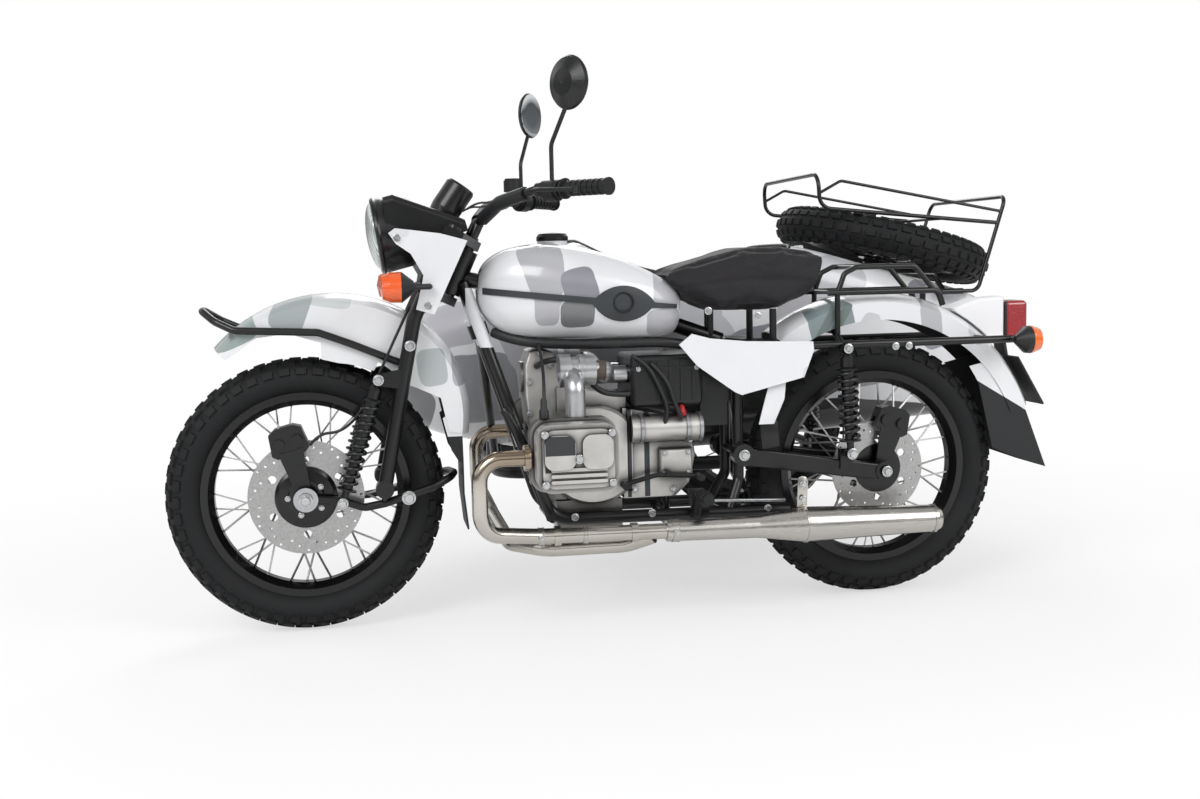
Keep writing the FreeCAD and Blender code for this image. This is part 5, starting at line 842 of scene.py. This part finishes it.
# The same on both sides, apart from what is on the left only.
for name, body, size, spots, left_only in (
        ("spring_top_bolts", "motorcycle", 19, [(-617, 168, 664)], []),
        ("lamp_panel_bolts", "steering", 14, [(496, 151, 962), (428, 151, 800)], []),
        ("fork_bolts", "steering", 20, [(552, 135, 625), (647, 134, 331)], [(474, 140, 705)]),
        ("link_pivot_bolts", "steering", 26, [(490, 140, 338)], [])):
    bolts(name, size, spots + left_only, body=body)
    bolts(name + "_right", size, [(x, -y, z) for x, y, z in spots], (0, -1, 0), body)
# Middle of each rocker cover. The right cylinder stands a little behind the left one.
COVER_X, COVER_Z = {"left": 107, "right": 83}, 445
for side, word in SIDES:
    bolts("rocker_cover_bolts_" + word, 13, [(COVER_X[word] + along, side * 364, COVER_Z + up)
                                             for up in (58, -58) for along in (-78, 78)], (0, side, 0))
    bolts("rocker_centre_bolt_" + word, 17, [(COVER_X[word], side * 364.5, COVER_Z)], (0, side, 0))

# Front hub. The axle's end carries a cap with a snap ring of bright ground steel.
# Both show inside the black cover.
turned("axle_ring", [(0.026, 0), (0.0295, 0), (0.0295, 0.0025), (0.026, 0.0025)], 36, ground,
       at(735, 106.2, 340), (0, 1, 0), "steering", "machined_alloy")

# Exhaust fittings. Stainless band clamps, rolled with two lips, hold the slip joints.
# Each is drawn tight by a bolt at its outer side.
def band(name, spot, direction, radius, width, material, slot):
    """Rolled band round a pipe, with two lipped edges."""
    half = width / 2
    lip, dip = radius + 0.0025, radius + 0.0014
    turned(name, [(radius, -half), (lip, -half), (lip, 0.002 - half), (dip, 0.003 - half),
                  (dip, half - 0.003), (lip, half - 0.002), (lip, half), (radius, half)],
           40, material, at(*spot), direction, "motorcycle", slot)


for name, x, z, radius, width in (("joint_clamp_front", 180, 238, 0.0195, 0.014),
                                  ("joint_clamp_middle", 72, 236, 0.0195, 0.012),
                                  ("muffler_clamp", -152, 233.8, 0.0264, 0.018),
                                  ("muffler_seam", -485, 230.4, 0.0436, 0.005),
                                  ("muffler_end_ring", -826, 227, 0.0338, 0.008)):
    band(name, (x, 205, z), (1, 0, 0.01), radius, width, brushed, "stainless_steel")
bolts("clamp_bolts", 10, [(180, 229, 238), (-152, 235, 233)])

# Hoses, loom and cables. Black rubber hose and plug leads, the brake hose on the fork, and the wiring loom.
# Two padded sleeves lie on the handlebar. Each run is held at both ends on one body.
hose_rubber = worn("hose_rubber", "#101112", 0.5, "#0D0E0F", "#1D1E20", 25, 1.0, 0.08, (0.42, 0.58))


def hose(name, radius, points, body="motorcycle", material=hose_rubber, slot="grip_rubber"):
    """Hose or cable along a smooth line through places in bike millimetres."""
    line = bpy.data.curves.new(name, "CURVE")
    line.dimensions = "3D"
    line.bevel_depth = radius / 1000
    line.bevel_resolution = 3
    line.use_fill_caps = True
    line.resolution_u = 10
    spline = line.splines.new("NURBS")
    spline.points.add(len(points) - 1)
    for point, place in zip(spline.points, points):
        point.co = (*at(*place), 1)
    spline.order_u = 3
    spline.use_endpoint_u = True
    piece = bpy.data.objects.new(name, line)
    studio.collection.objects.link(piece)
    pick(piece)
    bpy.ops.object.convert(target="MESH")
    piece = bpy.context.object
    bpy.ops.object.shade_smooth()
    return enrol(clad(piece, material), name, body, slot)


hose("main_loom", 13, [(262, 26, 726), (214, 70, 704), (90, 86, 693), (-60, 86, 692), (-190, 82, 692),
                       (-300, 58, 664)])
hose("balance_hose", 7.5, [(160, 64, 640), (150, 110, 655), (110, 140, 662), (60, 135, 640), (30, 128, 590),
                           (-10, 122, 566), (-64, 104, 566)])
hose("fuel_hose", 5.5,
     [(-70, 112, 662), (-110, 118, 640), (-140, 118, 580), (-165, 116, 520), (-150, 110, 480)])
hose("breather_hose", 6.0, [(-120, 112, 640), (-160, 122, 600), (-176, 122, 540), (-196, 118, 500)])
for side, word in SIDES:
    hose(word + "_bar_sleeve", 17, [(284, side * 74, 1006), (262, side * 126, 1029), (252, side * 150, 1040),
                                    (240, side * 166, 1044), (196, side * 222, 1058)], "steering")
    place = COVER_X[word]
    hose("plug_lead_" + word, 4.0, [(place + 68, side * 282, 545), (place + 66, side * 280, 585),
                                    (place + 60, side * 230, 640), (place + 55, side * 150, 680),
                                    (place + 50, side * 70, 700)])
    turned("plug_cap_" + word, [(0.009, 0), (0.0115, 0.004), (0.0115, 0.02), (0.008, 0.026), (0.008, 0.044),
                                (0.005, 0.05)],
           20, hose_rubber, at(place + 68, side * 282, 531), (0, 0, 1), "motorcycle", "grip_rubber")
hose("front_brake_hose", 3.6, [(470, 108, 800), (520, 104, 700), (585, 100, 560), (640, 96, 500),
                               (700, 90, 498), (720, 84, 470)], "steering")
hose("clutch_cable", 2.6, [(236, 96, 1052), (262, 88, 1044), (300, 70, 1046), (322, 60, 1030)], "steering")
hose("throttle_cable", 2.6, [(236, -96, 1052), (266, -84, 1040), (304, -66, 1042), (322, -52, 1030)],
     "steering")

# Starter, intake and gearbox fittings. Bright bands hold the starter, and its terminal has a red vinyl boot.
# The intake tubes have brown silicone sleeves, and small bolts close the covers.
boot = worn("red_vinyl_boot", "#A8161C", 0.42, "#9A1218", "#B8242A", 10, 1.0, 0.1, (0.36, 0.5))
turned("starter_boot",
       [(0.011, 0), (0.012, 0.004), (0.012, 0.012), (0.008, 0.018), (0.006, 0.026), (0.004, 0.027)], 20, boot,
       at(-200, 96, 506), (0, 0.25, 1), "motorcycle", "red_lens")
for name, x in (("starter_band_front", -96), ("starter_band_rear", -214), ("starter_band_end", -248)):
    band(name, (x, 84, 474), (1, 0, 0), 0.0352, 0.008, alloy, "machined_alloy")
band("intake_band_left", (58, 190, 636), (1, 0, 0), 0.0262, 0.010, zinc, "machined_alloy")
silicone = worn("brown_silicone", "#4A403A", 0.5, "#423A35", "#554A43", 18, 1.0, 0.08, (0.42, 0.58))
band("intake_sleeve_left", (26, 188, 634.5), (1, 0, 0.05), 0.0226, 0.030, silicone, "grip_rubber")
band("intake_sleeve_right", (2, -188, 634.5), (1, 0, 0.05), 0.0226, 0.030, silicone, "grip_rubber")
bolts("case_screws", 11, [(152, 59, 330), (172, 59, 420), (180, 59, 520), (180, 59, 600), (150, 59, 672),
                          (124, 59, 640)])
bolts("gearbox_screws", 11, [(-80, 79, 320), (-180, 79, 316), (-214, 79, 370), (-226, 79, 440)])
bolts("pedal_box_screws", 9, [(-216, 99, 360), (-154, 99, 360), (-216, 99, 412), (-154, 99, 412)])
bolts("air_box_clips", 10, [(-90, 103, 626), (-240, 103, 626)])

# Knee pad rings. Plain moulded rubber, one raised ring on each pad.
# They carry nothing.
for side, word in SIDES:
    pick()
    bpy.ops.mesh.primitive_torus_add(major_segments=48, minor_segments=12, major_radius=0.024,
                                     minor_radius=0.0022, location=at(-46, side * 156.5, 795),
                                     rotation=(math.pi / 2, 0, 0))
    ring = settle(bpy.context.object, fitting)
    bpy.ops.object.shade_smooth()
    enrol(ring, "pad_ring_" + word, "motorcycle", "grip_rubber")

# Number plate. A blank pressed-aluminium plate, painted white, with a thin raised border.
# It is fixed to the tail lamp's strap and leans with it.
PLATE_HEIGHT, PLATE_WIDTH, PLATE_THICK = 0.128, 0.172, 0.0016
PLATE_NORMAL = Vector((-0.865926, 0, 0.500173))
plate_paint = worn("white_plate_enamel", "#E8E9EA", 0.4, "#E2E3E4", "#ECEDEE", 60, 2.0, 0.03, (0.32, 0.45),
                   coat=0.3)
pick()
bpy.ops.mesh.primitive_cube_add(size=1, location=(0, 0, 0.0012),
                                scale=(PLATE_HEIGHT, PLATE_WIDTH, PLATE_THICK))
plate = bpy.context.object
bpy.ops.object.transform_apply(location=True, rotation=True, scale=True)
inset(plate, lambda face: face.normal.z > 0.9, (0.004, 0.0), (0.001, -0.0008))
across = Vector((0, 1, 0))
turn = Matrix((across.cross(PLATE_NORMAL), across, PLATE_NORMAL)).transposed().to_4x4()
plate.data.transform(Matrix.Translation(at(-1155, 0, 558.1)) @ turn)
enrol(clad(plate, plate_paint), "blank_plate", "motorcycle", "white_paint")

# Cockpit edge. A soft bead of black rubber.
# It is pressed over the raw edge of the sidecar's opening and meets itself at the front.
EDGE = ((-40, 166, 958), (-50, 200, 950), (-65, 231, 940), (-92, 257, 923), (-148, 283, 895),
        (-208, 295, 873), (-300, 300, 851), (-410, 300, 841), (-490, 299, 846), (-552, 296, 860),
        (-611, 285, 882), (-650, 266, 903), (-676, 238, 922), (-688, 196, 933))
FRONT = (-41, SIDE_Y, 957)
hose("cockpit_bead", 6.5, [FRONT, *[(x, SIDE_Y + reach, z) for x, reach, z in EDGE],
                           *[(x, SIDE_Y - reach, z) for x, reach, z in reversed(EDGE)], FRONT])

# Brackets. Flat steel, cut and bent: a white stay under the side cover, the muffler's hanger and small tabs.
# The brake rod, the leg guard tube and the clamp on the frame's front tube stand with them.
def slab(name, outline, y, thickness, material, slot):
    """Flat plate with broken edges, from an outline in bike millimetres seen from the left."""
    pick()
    bpy.ops.mesh.primitive_circle_add(vertices=len(outline), radius=0.1, fill_type="NGON")
    piece = bpy.context.object
    for vertex, (x, z) in zip(piece.data.vertices, outline):
        vertex.co = at(x, y, z)
    bpy.ops.object.mode_set(mode="EDIT")
    bpy.ops.mesh.select_all(action="SELECT")
    bpy.ops.mesh.extrude_region_move(TRANSFORM_OT_translate={"value": (0, thickness / 1000, 0)})
    close_edit()
    edge = piece.modifiers.new("broken", "BEVEL")
    edge.width = 0.0008
    edge.segments = 2
    bpy.ops.object.modifier_apply(modifier="broken")
    bpy.ops.object.shade_smooth_by_angle(angle=math.radians(35))
    enrol(clad(piece, material), name, "motorcycle", slot)


slab("cover_stay", [(-424, 600), (-464, 600), (-458, 540), (-430, 478), (-390, 478), (-404, 530)], 134, 4,
     painted("stay_enamel", []), "white_paint")
slab("stay_foot", [(-394, 484), (-440, 484), (-446, 420), (-400, 414)], 128, 5, enamel, "black_enamel")
slab("muffler_hanger", [(-466, 274), (-470, 348), (-478, 352), (-490, 350), (-496, 342), (-492, 274)], 200, 5,
     brushed, "stainless_steel")
slab("peg_plate", [(-206, 322), (-246, 322), (-258, 300), (-262, 246), (-226, 240), (-214, 270)], 122, 6,
     enamel, "black_enamel")
hose("brake_rod", 4.5, [(-246, 134, 291), (-330, 134, 288), (-458, 134, 282)], material=ground,
     slot="machined_alloy")
hose("leg_guard", 13, [(250, 118, 540), (238, 128, 524), (205, 132, 440), (180, 130, 380), (152, 124, 300),
                       (140, 112, 262)], material=enamel, slot="black_enamel")
band("downtube_clamp", (206, 67.5, 463), (0.303, -0.112, 0.946), 0.0166, 0.034, zinc, "machined_alloy")
